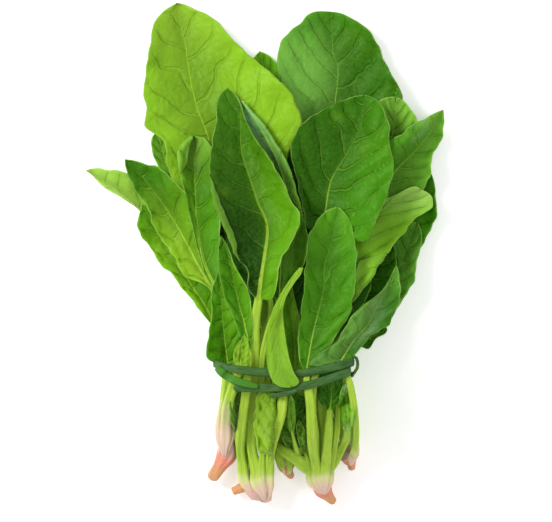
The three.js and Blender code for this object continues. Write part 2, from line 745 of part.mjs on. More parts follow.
function layLeaf(leaf, number) {
  leaf.phase = number * 1.3;
  leaf.ruffle = leaf.plain ? 1.2 : 1.6;
  const count = columns + (leaf.roll ? 1 : 0);
  const path = [...leaf.stalk, leaf.rib[0]];
  const stalkRows = Math.max(1, Math.round(lengthOf(path) / (leaf.plain ? 30 : 22)));
  const bladeRows = Math.max(4, Math.min(12, Math.round(lengthOf(leaf.rib) / (leaf.plain ? 16 : 10))));
  const short = lengthOf(path) < 20;
  const sections = stalkSections(path, stalkRows, short ? 0.7 : 1, count);
  sections.push(...bladeSections(leaf, bladeRows, stalkRows));
  settle(sections, 0);
  built.push({ name: leaf.name, sections });
}

// Crowns with their taproot stubs, resting on the surface
function crownRings(crown) {
  const [x, y] = crown.at;
  const [rx, rz] = crown.size;
  const rows = [
    [x, y, 0.82, 0.82],
    [x, y - 0.22 * crown.length, 1, 1],
    [x, y - 0.6 * crown.length, 0.97, 0.95],
  ].map(([cx, cy, sx, sz]) => ({ x: cx, y: cy, rx: rx * sx, rz: rz * sz }));
  const end = crown.root.length - 1;
  crown.root.forEach((p, i) => {
    const r = crown.rootSize[0] + (crown.rootSize[1] - crown.rootSize[0]) * (i / end);
    rows.push({ x: p[0], y: p[1], rx: i === 0 ? r * 1.25 : r, rz: i === 0 ? r * 1.2 : r });
  });
  const sides = 10;
  return rows.map((row, i) => {
    const before = rows[Math.max(0, i - 1)];
    const after = rows[Math.min(rows.length - 1, i + 1)];
    const dir = i === 0
      ? new THREE.Vector2(0, -1)
      : new THREE.Vector2(after.x - before.x, after.y - before.y).normalize();
    const z = rz - (rz - row.rz) * 0.45 * smoothStep(2, rows.length - 1, i);
    const ring = [];
    for (let k = 0; k < sides; k += 1) {
      const angle = (2 * Math.PI * k) / sides;
      const side = row.rx * Math.cos(angle);
      ring.push(new THREE.Vector3(
        row.x - dir.y * side,
        row.y + dir.x * side,
        z + row.rz * Math.sin(angle),
      ));
    }
    return ring;
  });
}

function layCrown(crown) {
  const rings = crownRings(crown);
  for (let row = 0; row < rings.length - 1; row += 1) {
    for (let k = 0; k < rings[row].length; k += 1) {
      const on = (k + 1) % rings[row].length;
      const a = rings[row][k];
      const b = rings[row + 1][k];
      const c = rings[row + 1][on];
      const d = rings[row][on];
      for (const facet of [[a, b, d], [b, c, d]]) {
        overTriangle(...facet, 0.5, (wa, wb, wc) => {
          const x = wa * facet[0].x + wb * facet[1].x + wc * facet[2].x;
          const yy = wa * facet[0].y + wb * facet[1].y + wc * facet[2].y;
          const z = wa * facet[0].z + wb * facet[1].z + wc * facet[2].z;
          if (yy < crown.at[1] - 2.5) layDown(x, yy, z);
        });
      }
    }
  }
  return rings;
}

// The tie: two flat bands round the stalks, a diagonal strand and a small side loop
const bandLines = [
  (x) => -68.7 + 6 * ((x - 9) / 40) ** 2,
  (x) => -77 + 9.5 * Math.max(0, (x - 4) / 45) ** 2,
];

function crossings(lineY) {
  const points = [];
  for (const leaf of built) {
    const rings = leaf.sections.map(ringOf);
    for (let row = 0; row < rings.length - 1; row += 1) {
      const around = rings[row].length;
      for (let k = 0; k < around; k += 1) {
        const on = (k + 1) % around;
        const edges = [
          [rings[row][k], rings[row + 1][k]],
          [rings[row + 1][k], rings[row][on]],
          [rings[row][k], rings[row + 1][on]],
        ];
        for (const [a, b] of edges) {
          for (const offset of [-bandWidth / 2 - 0.3, 0, bandWidth / 2 + 0.3]) {
            const da = a.y - lineY(a.x) - offset;
            const db = b.y - lineY(b.x) - offset;
            if (da * db > 0) continue;
            const t = da / (da - db || 1);
            points.push([a.x + (b.x - a.x) * t, a.z + (b.z - a.z) * t]);
          }
        }
      }
    }
  }
  return points;
}

function convexLoop(points) {
  const sorted = [...points].sort((p, q) => p[0] - q[0] || p[1] - q[1]);
  const turn = (o, a, b) => (a[0] - o[0]) * (b[1] - o[1]) - (a[1] - o[1]) * (b[0] - o[0]);
  const half = (list) => {
    const chain = [];
    for (const p of list) {
      while (chain.length > 1 && turn(chain[chain.length - 2], chain[chain.length - 1], p) <= 0) {
        chain.pop();
      }
      chain.push(p);
    }
    chain.pop();
    return chain;
  };
  return [...half(sorted), ...half(sorted.reverse())];
}

// Moves a convex loop outward by a distance, corner by corner
function offsetLoop(loop, distance) {
  const close = loop.filter((p, i) => {
    const q = loop[(i + 1) % loop.length];
    return Math.hypot(p[0] - q[0], p[1] - q[1]) > 0.5;
  });
  return close.map((p, i) => {
    const before = close[(i + close.length - 1) % close.length];
    const after = close[(i + 1) % close.length];
    const a = new THREE.Vector2(p[0] - before[0], p[1] - before[1]).normalize();
    const b = new THREE.Vector2(after[0] - p[0], after[1] - p[1]).normalize();
    const normal = new THREE.Vector2(a.y + b.y, -a.x - b.x).normalize();
    const reach = distance / Math.max(0.5, normal.dot(new THREE.Vector2(a.y, -a.x)));
    return [p[0] + normal.x * reach, p[1] + normal.y * reach];
  });
}

function bandGeometry(loop, lineY) {
  const inner = offsetLoop(loop, bandGap);
  const outer = offsetLoop(loop, bandGap + bandThickness);
  const count = inner.length;
  const band = new THREE.TorusGeometry(1, 0.2, 4, count);
  const place = band.attributes.position;
  for (let j = 0; j <= 4; j += 1) {
    const ring = j % 4 === 0 || j % 4 === 3 ? outer : inner;
    const side = j % 4 < 2 ? 1 : -1;
    for (let i = 0; i <= count; i += 1) {
      const p = ring[i % count];
      const y = lineY(inner[i % count][0]) + (side * bandWidth) / 2;
      place.setXYZ(j * (count + 1) + i, p[0], y, p[1]);
    }
  }
  band.deleteAttribute('normal');
  band.deleteAttribute('uv');
  return outward(mergeVertices(band, 1e-5));
}

function strandGeometry(points, normals, widths, thickness) {
  const rings = points.map((p, i) => {
    const before = points[Math.max(0, i - 1)];
    const after = points[Math.min(points.length - 1, i + 1)];
    const along = after.clone().sub(before).normalize();
    const normal = normals[i].clone().normalize();
    const across = new THREE.Vector3().crossVectors(along, normal).normalize();
    return [[1, 1], [1, -1], [-1, -1], [-1, 1]].map(([u, v]) => p.clone()
      .addScaledVector(across, (u * widths[i]) / 2)
      .addScaledVector(normal, (v * thickness) / 2));
  });
  return skinGeometry(rings, 4);
}

function solidOf(geometry) {
  return new wasm.Manifold(new wasm.Mesh({
    numProp: 3,
    vertProperties: new Float32Array(geometry.attributes.position.array),
    triVerts: new Uint32Array(geometry.index.array),
  }));
}

function joined(geometries) {
  let whole = solidOf(geometries[0]);
  for (const geometry of geometries.slice(1)) whole = whole.add(solidOf(geometry));
  const mesh = whole.getMesh();
  const result = new THREE.BufferGeometry();
  result.setAttribute('position', new THREE.BufferAttribute(new Float32Array(mesh.vertProperties), 3));
  result.setIndex(new THREE.BufferAttribute(new Uint32Array(mesh.triVerts), 1));
  result.computeVertexNormals();
  return result;
}

function topOfLoop(loop, x) {
  let top = -Infinity;
  loop.forEach((p, i) => {
    const q = loop[(i + 1) % loop.length];
    if ((p[0] - x) * (q[0] - x) > 0) return;
    const t = (x - p[0]) / (q[0] - p[0] || 1);
    top = Math.max(top, p[1] + (q[1] - p[1]) * Math.min(1, Math.max(0, t)));
  });
  return top;
}

function markGeometry(geometry) {
  const place = geometry.attributes.position;
  const index = geometry.index.array;
  const corner = (i) => new THREE.Vector3().fromBufferAttribute(place, index[i]);
  for (let f = 0; f < index.length; f += 3) {
    const [a, b, c] = [corner(f), corner(f + 1), corner(f + 2)];
    overTriangle(a, b, c, 0.5, (wa, wb, wc) => {
      layDown(
        wa * a.x + wb * b.x + wc * c.x,
        wa * a.y + wb * b.y + wc * c.y,
        wa * a.z + wb * b.z + wc * c.z,
      );
    });
  }
}

function highestNear(x, y, reach) {
  let top = 0;
  for (let dy = -reach; dy <= reach; dy += 0.5) {
    for (let dx = -reach; dx <= reach; dx += 0.5) {
      top = Math.max(top, field.height[cellIndex(x + dx, y + dy)]);
    }
  }
  return top;
}

function tieGeometry() {
  const loops = bandLines.map((lineY) => convexLoop(crossings(lineY)));
  const bands = bandLines.map((lineY, i) => bandGeometry(loops[i], lineY));
  const outer = loops.map((loop) => offsetLoop(loop, bandGap + bandThickness));
  const leftmost = Math.min(...outer[0].map((p) => p[0]));
  const rightmost = outer[0].reduce((best, p) => (p[0] > best[0] ? p : best));
  const strandPlan = [
    [leftmost + 4, bandLines[0](leftmost + 4)], [-22, -67], [-18, -70.5], [-12, -74.5],
    [-5, bandLines[1](-5)],
  ];
  const strandWidths = [2.2, 4.4, 4.6, 4.4, 2.2];
  const strand = strandPlan.map(([x, y], i) => {
    const tops = outer.map((loop) => topOfLoop(loop, x));
    if (i === 0) return new THREE.Vector3(x, y, tops[0] - 0.2);
    if (i === 4) return new THREE.Vector3(x, y, tops[1] - 0.2);
    return new THREE.Vector3(x, y, Math.max(...tops, highestNear(x, y, 3) + 0.9));
  });
  const up = strand.map(() => new THREE.Vector3(0, 0, 1));
  const side = rightmost[0] - 0.7;
  const sideY = bandLines[0](side);
  const loopPoints = [
    new THREE.Vector3(side, sideY + 1.2, rightmost[1]),
    new THREE.Vector3(side + 2.4, sideY + 0.6, rightmost[1]),
    new THREE.Vector3(side + 3, sideY - 2.5, rightmost[1]),
    new THREE.Vector3(side + 2.6, sideY - 6, rightmost[1]),
  ];
  const sideways = loopPoints.map(() => new THREE.Vector3(0, 0, 1));
  return joined([
    ...bands,
    strandGeometry(strand, up, strandWidths, 1.2),
    strandGeometry(loopPoints, sideways, loopPoints.map(() => 1.8), 2),
  ]);
}

// Laying order: the tie's underside, crowns, young leaves, leaves, tie, then the leaf over it
for (let y = -84; y <= -58; y += 0.5) {
  for (let x = -40; x <= 65; x += 0.5) layDown(x, y, bandThickness + 0.1);
}
const crownSkins = crowns.map((crown) => ({ name: crown.name, rings: layCrown(crown) }));
const frontFrom = leaves.findIndex((leaf) => leaf.name === 'leaf_front_oval');
leaves.slice(0, frontFrom).forEach((leaf, i) => layLeaf(leaf, i));
youngLeaves.slice(0, 5).forEach((leaf, i) => layLeaf(leaf, i + 50));
leaves.slice(frontFrom).forEach((leaf, i) => layLeaf(leaf, i + frontFrom));

const overStalk = stalkSections([...overTie.stalk, overTie.rib[0]], 5, 1, columns);
settle(overStalk, 0);
youngLeaves.slice(5).forEach((leaf, i) => layLeaf(leaf, i + 60));
built.push({ name: 'stalk', sections: overStalk });
const tie = tieGeometry();
built.pop();
markGeometry(tie);
overTie.phase = 2;
overTie.ruffle = 1;
overTie.lift = [2, 2];
const overBlade = [
  stalkSection(overTie.rib[0][0] + 0.2, overTie.rib[0][1] - 1.4, 0, 1, 1.7, 1.3, columns),
  ...bladeSections(overTie, 7, 0),
];
const stalkEnd = overStalk[overStalk.length - 1];
const footHeight = stalkEnd[2].under.z;
for (const column of overBlade[0]) {
  column.top.z += footHeight;
  column.under.z += footHeight;
}
settle(overBlade, 1);

// Assembly, moved so that the origin is under the middle of the bunch
const bunch = new THREE.Group();
bunch.position.set(-0.1, 2, 0);

function addPiece(name, geometry, colour, roughness) {
  const material = new THREE.MeshStandardMaterial({ color: colour, roughness, metalness: 0 });
  const mesh = new THREE.Mesh(geometry, material);
  mesh.name = name;
  bunch.add(mesh);
}

const leafColours = [0x4f8a2b, 0x5f9a35, 0x3f7a22, 0x6aa63c];
built.forEach((leaf, i) => {
  addPiece(leaf.name, leafSkin(leaf.sections), leafColours[i % 4], 0.5);
});
addPiece(
  overTie.name,
  joined([leafSkin(overStalk), leafSkin(overBlade)]),
  0x8cbe3c,
  0.5,
);
for (const crown of crownSkins) addPiece(crown.name, skinGeometry(crown.rings, 10), 0xe1beb4, 0.6);
addPiece('tie', tie, 0x4a6e4a, 0.7);

export default bunch;
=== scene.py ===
import math
import bmesh
import bpy
import numpy as np
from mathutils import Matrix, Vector
from mathutils.bvhtree import BVHTree


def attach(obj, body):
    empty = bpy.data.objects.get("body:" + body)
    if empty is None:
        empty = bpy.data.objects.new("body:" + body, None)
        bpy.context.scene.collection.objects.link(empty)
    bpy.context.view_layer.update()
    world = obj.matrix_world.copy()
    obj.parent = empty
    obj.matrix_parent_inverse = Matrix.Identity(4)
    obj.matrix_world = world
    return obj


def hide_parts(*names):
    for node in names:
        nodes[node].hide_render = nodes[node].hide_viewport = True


# Spinach bunch: crowns, leaves and tie are built over the CAD frame, which gives the heights.
# Lengths are in millimetres as in the CAD; inMetres moves and scales a point at the end.
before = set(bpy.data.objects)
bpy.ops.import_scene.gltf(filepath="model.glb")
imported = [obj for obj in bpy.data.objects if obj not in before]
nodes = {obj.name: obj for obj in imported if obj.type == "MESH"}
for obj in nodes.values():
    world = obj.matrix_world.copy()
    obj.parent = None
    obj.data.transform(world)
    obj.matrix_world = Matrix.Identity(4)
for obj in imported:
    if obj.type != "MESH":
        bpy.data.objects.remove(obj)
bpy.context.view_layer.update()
mm = 0.001
originShift = (-0.1, 2.0)  # from plan points to the frame's origin
upwards = np.array([0.0, 0.0, 1.0])
tiny = 1e-6
print("frame loaded:", len(nodes), "nodes")


def inMetres(p):
    return (p[0] + originShift[0]) * mm, (p[1] + originShift[1]) * mm, p[2] * mm


def smoothStep(a, b, x):
    t = np.clip((np.asarray(x, float) - a) / (b - a), 0, 1)
    return t * t * (3 - 2 * t)


def srgb(*channels):
    shares = [c / 255 for c in channels]
    return tuple(c / 12.92 if c <= 0.0404 else ((c + 0.055) / 1.055) ** 2.4 for c in shares)


def unit(vectors):
    return vectors / np.maximum(np.linalg.norm(vectors, axis=-1), tiny)[..., None]


# Millimetres run from the first point to each point of a line
def runAlong(points):
    steps = np.linalg.norm(np.diff(points, axis=0), axis=1)
    return np.concatenate([[0], np.cumsum(steps)])


# Points given as x, y, x, y
def pairs(flat):
    return list(zip(flat[::2], flat[1::2]))


# Centripetal curve through the points; the function it returns takes shares of the length
def lineThrough(points):
    p = np.array(points, float)
    p = np.vstack([2 * p[0] - p[1], p, 2 * p[-1] - p[-2]])
    dense = []
    for i in range(len(p) - 3):
        a, b, c, d = p[i:i + 4]
        gaps = [max(np.linalg.norm(v), 1e-4) ** 0.5 for v in (b - a, c - b, d - c)]
        slopeB = ((b - a) / gaps[0] - (c - a) / (gaps[0] + gaps[1]) + (c - b) / gaps[1]) * gaps[1]
        slopeC = ((c - b) / gaps[1] - (d - b) / (gaps[1] + gaps[2]) + (d - c) / gaps[2]) * gaps[1]
        u = np.linspace(0, 1, 25)[:-1, None]
        dense.append(b + slopeB * u + (3 * (c - b) - 2 * slopeB - slopeC) * u ** 2
                     + (2 * (b - c) + slopeB + slopeC) * u ** 3)
    dense = np.vstack(dense + [p[-2:-1]])
    run = runAlong(dense)

    def at(share):
        d = np.clip(share, 0, 1) * run[-1]
        return np.stack([np.interp(d, run, dense[:, i]) for i in range(dense.shape[1])], -1)
    return at, run[-1]


# Averages each row with its neighbours along an axis, ends kept
def evened(values, passes, axis=0):
    v = np.moveaxis(np.array(values, float), axis, 0)
    for _ in range(passes):
        inner = 0.25 * v[:-2] + 0.5 * v[1:-1] + 0.25 * v[2:]
        v = np.concatenate([v[:1], inner, v[-1:]])
    return np.moveaxis(v, 0, axis)


# Evenly waving noise made of a few sines, the same on every run
def waves(a, b, seed):
    return (np.sin(a + seed * 1.7) * np.cos(b * 1.3 + seed * 0.9)
            + 0.5 * np.sin(a * 2.3 + b * 1.1 + seed * 2.9)
            + 0.35 * np.cos(b * 3.1 - a * 1.7 + seed))


# Height map of all that is already laid, so that each leaf rests on the ones under it
pileStep = 0.8
pileCorner = (-130.0, -165.0)
pile = np.zeros((420, 330))


def pileCell(x, y):
    i = np.clip(((np.asarray(y) - pileCorner[1]) / pileStep).astype(int), 0, pile.shape[0] - 1)
    j = np.clip(((np.asarray(x) - pileCorner[0]) / pileStep).astype(int), 0, pile.shape[1] - 1)
    return i, j


# Adds a grid of points, with three steps between neighbours each way
def addToPile(grid):
    for u in (0, 0.33, 0.67):
        for v in (0, 0.33, 0.67):
            p = ((1 - u) * (1 - v) * grid[:-1, :-1] + u * (1 - v) * grid[1:, :-1]
                 + (1 - u) * v * grid[:-1, 1:] + u * v * grid[1:, 1:])
            np.maximum.at(pile, pileCell(p[..., 0], p[..., 1]), p[..., 2])


# Rings are rows by points round; the last point meets the first
def addRingsToPile(rings):
    addToPile(np.concatenate([rings, rings[:, :1]], 1))


# The CAD node's skin, for looking up heights in plan
def skinOf(nodeName):
    mesh = nodes[nodeName].data
    place = [(v.co.x / mm - originShift[0], v.co.y / mm - originShift[1], v.co.z / mm)
             for v in mesh.vertices]
    return BVHTree.FromPolygons(place, [tuple(p.vertices) for p in mesh.polygons])


def skinHeight(tree, x, y, fromBelow):
    start = Vector((x, y, -5 if fromBelow else 200))
    hit = tree.ray_cast(start, Vector((0, 0, 1 if fromBelow else -1)))
    return np.nan if hit[0] is None else hit[0].z


# Fills the gaps outside the CAD outline from the nearest known value, rib side first
def filled(heights, middle):
    h = heights.copy()
    rows, count = h.shape
    for columns, inward in ((range(middle + 1, count), -1), (range(middle - 1, -1, -1), 1)):
        for k in columns:
            gap = np.isnan(h[:, k])
            h[gap, k] = h[gap, k + inward]
    for order, behind in ((range(1, rows), -1), (range(rows - 2, -1, -1), 1)):
        for r in order:
            gap = np.isnan(h[r])
            h[r, gap] = h[r + behind, gap]
    return np.nan_to_num(h, nan=0.0)


# A grid whose side edges meet, shaped to the rings, with data for each ring point
def addRings(bm, rings, data):
    rows, around = rings.shape[:2]
    grid = bmesh.ops.create_grid(bm, x_segments=around, y_segments=rows - 1, size=1)
    for v in grid["verts"]:
        k = round((v.co.x + 1) / 2 * around) % around
        r = round((v.co.y + 1) / 2 * (rows - 1))
        v.co = inMetres(rings[r, k])
        for layer, values in data:
            v[layer] = values[r, k]


# Merges the seams, closes the open ends and hands the piece to the frame
def closedPiece(name, bm, material, replaced):
    bmesh.ops.remove_doubles(bm, verts=bm.verts, dist=1e-7)
    openEdges = [e for e in bm.edges if e.is_boundary]
    if openEdges:
        bmesh.ops.holes_fill(bm, edges=openEdges, sides=0)
    bmesh.ops.recalc_face_normals(bm, faces=bm.faces)
    for f in bm.faces:
        f.smooth = True
    piece = linkedMesh(name, bm, material)
    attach(piece, "root")
    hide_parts(replaced)


def linkedMesh(name, bm, material):
    mesh = bpy.data.meshes.new(name)
    bm.to_mesh(mesh)
    bm.free()
    mesh.materials.append(material)
    made = bpy.data.objects.new(name, mesh)
    bpy.context.scene.collection.objects.link(made)
    return made


# One closed skin around rows of rings; each layer has a vector for each ring point
def closedSkin(name, rings, layers, material, replaced):
    bm = bmesh.new()
    for key in layers:
        bm.verts.layers.float_vector.new(key)
    addRings(bm, rings, [(bm.verts.layers.float_vector[key], layers[key]) for key in layers])
    closedPiece(name, bm, material, replaced)


# Short calls for building a node material
class Nodes:
    def __init__(self, name):
        self.material = bpy.data.materials.new(name)
        self.material.use_nodes = True
        self.tree = self.material.node_tree
        self.shader = self.tree.nodes["Principled BSDF"]

    def add(self, kind, **values):
        node = self.tree.nodes.new(kind)
        for key, value in values.items():
            setattr(node, key, value)
        return node

    def wire(self, value, socket):
        if isinstance(value, bpy.types.NodeSocket):
            self.tree.links.new(value, socket)
        else:
            socket.default_value = value

    def fill(self, node, *values):
        for value, socket in zip(values, node.inputs):
            self.wire(value, socket)
        return node.outputs[0]

    def math(self, operation, *values):
        return self.fill(self.add("ShaderNodeMath", operation=operation), *values)

    def plus(self, a, b):
        return self.math("ADD", a, b)

    def minus(self, a, b):
        return self.math("SUBTRACT", a, b)

    def times(self, a, b):
        return self.math("MULTIPLY", a, b)

    def span(self, value, low, high, toLow=0.0, toHigh=1.0, curve="SMOOTHSTEP"):
        node = self.add("ShaderNodeMapRange", interpolation_type=curve)
        return self.fill(node, value, low, high, toLow, toHigh)

    def mix(self, share, a, b):
        node = self.add("ShaderNodeMix", data_type="RGBA", clamp_factor=True)
        for value, socket in zip((share, a, b), (node.inputs[0], node.inputs[6], node.inputs[7])):
            self.wire((*value, 1) if isinstance(value, tuple) else value, socket)
        return node.outputs[2]

    def objectPlace(self):
        return self.add("ShaderNodeTexCoord").outputs["Object"]

    def noise(self, scale, detail=2.0, rough=0.5, place=None, stretch=None):
        place = place or self.objectPlace()
        if stretch:
            mapping = self.add("ShaderNodeMapping")
            mapping.inputs["Scale"].default_value = stretch
            self.wire(place, mapping.inputs["Vector"])
            place = mapping.outputs[0]
        node = self.add("ShaderNodeTexNoise")
        values = {"Vector": place, "Scale": scale, "Detail": detail, "Roughness": rough}
        for key, value in values.items():
            self.wire(value, node.inputs[key])
        return node.outputs["Fac"]

    def cells(self, scale):
        node = self.add("ShaderNodeTexVoronoi", feature="DISTANCE_TO_EDGE")
        self.wire(self.objectPlace(), node.inputs["Vector"])
        node.inputs["Scale"].default_value = scale
        return node.outputs["Distance"]

    def attribute(self, name, output="Vector"):
        return self.add("ShaderNodeAttribute", attribute_name=name).outputs[output]

    def split(self, name):
        node = self.add("ShaderNodeSeparateXYZ")
        self.wire(self.attribute(name), node.inputs[0])
        return node.outputs

    def bump(self, height, strength, distance):
        node = self.add("ShaderNodeBump")
        for key, value in (("Height", height), ("Strength", strength), ("Distance", distance)):
            self.wire(value, node.inputs[key])
        return node.outputs[0]

    def finish(self, colour, roughness, normal, **fixed):
        self.wire(colour, self.shader.inputs["Base Color"])
        self.wire(roughness, self.shader.inputs["Roughness"])
        self.wire(normal, self.shader.inputs["Normal"])
        for key, value in fixed.items():
            self.shader.inputs[key.replace("_", " ")].default_value = value
        return self.material


leafFinish = {
    # the painted highlight along the leaf margins
    "rim": srgb(176, 218, 110),
    "vein": srgb(168, 206, 66),
    "stalk": srgb(180, 210, 74),
    "stalkDeep": srgb(128, 176, 34),
    "cream": srgb(220, 218, 156),
    "sheath": srgb(232, 198, 182),
    "underside": srgb(124, 174, 56),
    "netStrength": 0.10,
    "gloss": 0.44,
}


# Leaf skin. leafPlace holds the share across (-1..1), the share along (stalk below zero) and
# the side (0 upper, 1 under); leafVein holds the vein phase, the distance from the rib in
# millimetres and the vein spacing in millimetres; leafMarks holds the rib's half width in
# millimetres, the strength of the veins and the pink of the foot; leafTint is the green, with
# painted light and shade in it where a half of a leaf is set lighter or darker for how light falls
# on it.
def leafMaterial(name, finish):
    n = Nodes(name)
    place, vein, marks = (n.split(key) for key in ("leafPlace", "leafVein", "leafMarks"))
    tint = n.attribute("leafTint", "Color")
    across, along, under = place
    phase, fromRib, spacing = vein
    ribHalf, veinStrength, blush = marks
    away = n.math("ABSOLUTE", fromRib)
    outward = n.math("ABSOLUTE", across)
    onBlade = n.span(along, 0.0, 0.03)
    wander = n.noise(90, 2.0)
    slow = n.noise(26, 3.0)
    fine = n.noise(420, 2.0)

    # midrib: broad at the foot, a hair line at the tip
    ribMask = n.span(n.minus(ribHalf, away), -0.35, 0.35)
    # side veins alternate left and right
    leftSide = n.math("LESS_THAN", across, 0.0)
    shifted = n.math("MULTIPLY_ADD", leftSide, 0.5, phase)
    shifted = n.plus(shifted, n.times(n.minus(wander, 0.5), 0.6))
    near = n.math("PINGPONG", shifted, 0.5)
    nearMm = n.times(near, spacing)
    sideWidth = n.span(outward, 0.0, 0.95, 0.52, 0.06, "LINEAR")
    sideMask = n.span(n.minus(sideWidth, nearMm), -0.45, 0.35)
    sideMask = n.times(sideMask, n.span(outward, 0.92, 0.4))
    groove = n.span(nearMm, 1.9, 0.2)
    groove = n.times(groove, n.span(outward, 1.0, 0.7))
    creased = n.times(groove, n.span(veinStrength, 0.0, 0.5, 0.0, 1.0, "LINEAR"))
    # fine branches between them
    branch = n.times(n.plus(shifted, n.times(away, 0.11)), 4.0)
    branchMask = n.times(n.span(n.math("PINGPONG", branch, 0.5), 0.16, 0.02), 0.4)
    net = n.span(n.cells(330), 0.09, 0.0)
    faint = n.times(n.math("MAXIMUM", net, branchMask), finish["netStrength"])
    veins = n.math("MAXIMUM", n.times(sideMask, veinStrength), faint)
    veins = n.times(veins, onBlade)

    # a darker and a lighter green of the leaf's own, for the painted shade and painted sheen below
    shadeGreen = n.mix(0.55, tint, (0.005, 0.028, 0.0005))
    light = n.mix(0.26, tint, (0.30, 0.52, 0.03))
    # painted shade and painted sheen: broad darker blotches and lighter patches over the blade,
    # for the light falling on its curves
    blade = n.mix(n.span(slow, 0.35, 0.72, 0.0, 0.55), tint, shadeGreen)
    blade = n.mix(n.span(n.noise(60, 2.0), 0.5, 0.8, 0.0, 0.45), blade, light)
    # fine lighter specks, the leaf's own
    blade = n.mix(n.span(fine, 0.45, 0.8, 0.0, 0.16), blade, light)
    # painted shade: darker in the vein grooves
    blade = n.mix(n.times(creased, 0.5), blade, shadeGreen)
    # painted shade: darker towards the rib, in its channel
    blade = n.mix(n.span(outward, 0.7, 0.03, 0.0, 0.6), blade, shadeGreen)
    paleVein = n.mix(0.45, tint, finish["vein"])
    blade = n.mix(veins, blade, paleVein)
    # painted highlight: a pale rim along the leaf margins, where the edge catches the light
    toEdge = n.minus(n.math("DIVIDE", away, n.math("MAXIMUM", outward, 0.05)), away)
    rim = n.times(n.span(toEdge, 0.75, 0.2), n.span(outward, 0.5, 0.7))
    rim = n.times(rim, n.span(wander, 0.35, 0.7, 0.25, 0.85))
    blade = n.mix(rim, blade, n.mix(0.65, tint, finish["rim"]))
    pale = n.mix(0.45, blade, finish["underside"])
    blade = n.mix(under, blade, pale)
    # stalk: fine lengthwise streaks, cream and then pink where it sheathes the crown
    streak = n.noise(5.0, 3.0, 0.6, n.attribute("leafPlace"), (3.2, 1.5, 2.0))
    stalk = n.mix(n.span(streak, 0.38, 0.72), finish["stalk"], finish["stalkDeep"])
    stalk = n.mix(n.span(along, -0.3, -0.02, 0.0, 0.25), stalk, finish["stalkDeep"])
    uneven = n.times(n.minus(n.plus(wander, streak), 1.0), 0.55)
    blushHere = n.plus(blush, uneven)
    stalk = n.mix(n.span(blushHere, 0.05, 0.5, 0.0, 0.9), stalk, finish["cream"])
    stalk = n.mix(n.span(blushHere, 0.5, 0.95, 0.0, 0.9), stalk, finish["sheath"])
    ribColour = n.mix(n.span(along, 0.0, 0.6, 0.35, 0.85), finish["stalk"], tint)
    blade = n.mix(n.times(ribMask, onBlade), blade, ribColour)
    colour = n.mix(onBlade, stalk, blade)

    height = n.times(n.plus(groove, creased), -0.5)
    height = n.plus(height, n.times(ribMask, -0.4))
    height = n.times(height, onBlade)
    puff = n.span(n.cells(170), 0.0, 0.35, 0.0, 0.35)
    height = n.plus(height, n.times(puff, onBlade))
    height = n.plus(height, n.times(fine, 0.18))
    height = n.plus(height, n.times(streak, 0.4))
    normal = n.bump(height, 1.0, 0.0006)
    gloss = n.plus(n.span(n.noise(150, 2.0), 0.3, 0.8, -0.05, 0.10), finish["gloss"])
    gloss = n.plus(gloss, n.times(under, 0.16))
    return n.finish(colour, gloss, normal, Subsurface_Weight=0.15,
                    Subsurface_Radius=(0.5, 1.0, 0.15), Subsurface_Scale=0.0018,
                    Specular_IOR_Level=0.2, Specular_Tint=(0.62, 1.0, 0.4, 1.0))


leafSkinGreen = leafMaterial("leafSkinGreen", leafFinish)
youngLeafSkin = leafMaterial("youngLeafSkin", {**leafFinish, "netStrength": 0.3, "gloss": 0.36})


crownFinish = {
    "sheath": srgb(226, 192, 176),
    "blush": srgb(226, 172, 162),
    "neck": srgb(238, 146, 124),
    "root": srgb(226, 164, 112),
    "cut": srgb(240, 196, 150),
    "soil": srgb(150, 92, 58),
    "green": srgb(206, 214, 150),
}


# Crown skin. crownPlace holds the share along, the turn round it and how far into the root
def crownMaterial(finish):
    n = Nodes("crownSkin")
    ring = n.attribute("crownPlace")
    along, _, root = n.split("crownPlace")
    streak = n.noise(5.5, 3.0, 0.6, ring, (0.7, 5.0, 0.4))
    blotch = n.noise(140, 3.0)
    fine = n.noise(700, 3.0, 0.6)
    colour = n.mix(n.span(streak, 0.35, 0.68), finish["sheath"], finish["blush"])
    greenAt = n.plus(along, n.times(n.minus(streak, 0.5), 0.5))
    colour = n.mix(n.span(greenAt, 0.34, 0.02), colour, finish["green"])
    colour = n.mix(n.span(root, 0.02, 0.30), colour, finish["neck"])
    colour = n.mix(n.span(root, 0.30, 0.75), colour, finish["root"])
    colour = n.mix(n.span(root, 0.97, 0.995), colour, finish["cut"])
    colour = n.mix(n.span(blotch, 0.56, 0.8, 0.0, 0.45), colour, finish["soil"])
    colour = n.mix(n.span(fine, 0.58, 0.8, 0.0, 0.35), colour, finish["root"])
    height = n.plus(n.times(streak, 0.8), n.times(fine, 0.3))
    rings = n.noise(3.0, 3.0, 0.6, ring, (14.0, 0.8, 0.5))
    height = n.plus(height, n.times(rings, n.span(root, 0.1, 0.5, 0.0, 0.8)))
    normal = n.bump(height, 0.8, 0.0008)
    return n.finish(colour, n.span(fine, 0.2, 0.8, 0.42, 0.62), normal, Subsurface_Weight=0.25,
                    Subsurface_Radius=(1.0, 0.5, 0.3), Subsurface_Scale=0.003)


crownGreenToPink = crownMaterial(crownFinish)


tieFinish = {
    "band": srgb(42, 84, 36),
    "bandLight": srgb(104, 150, 72),
    "strand": srgb(56, 122, 14),
    "edge": srgb(24, 58, 26),
}


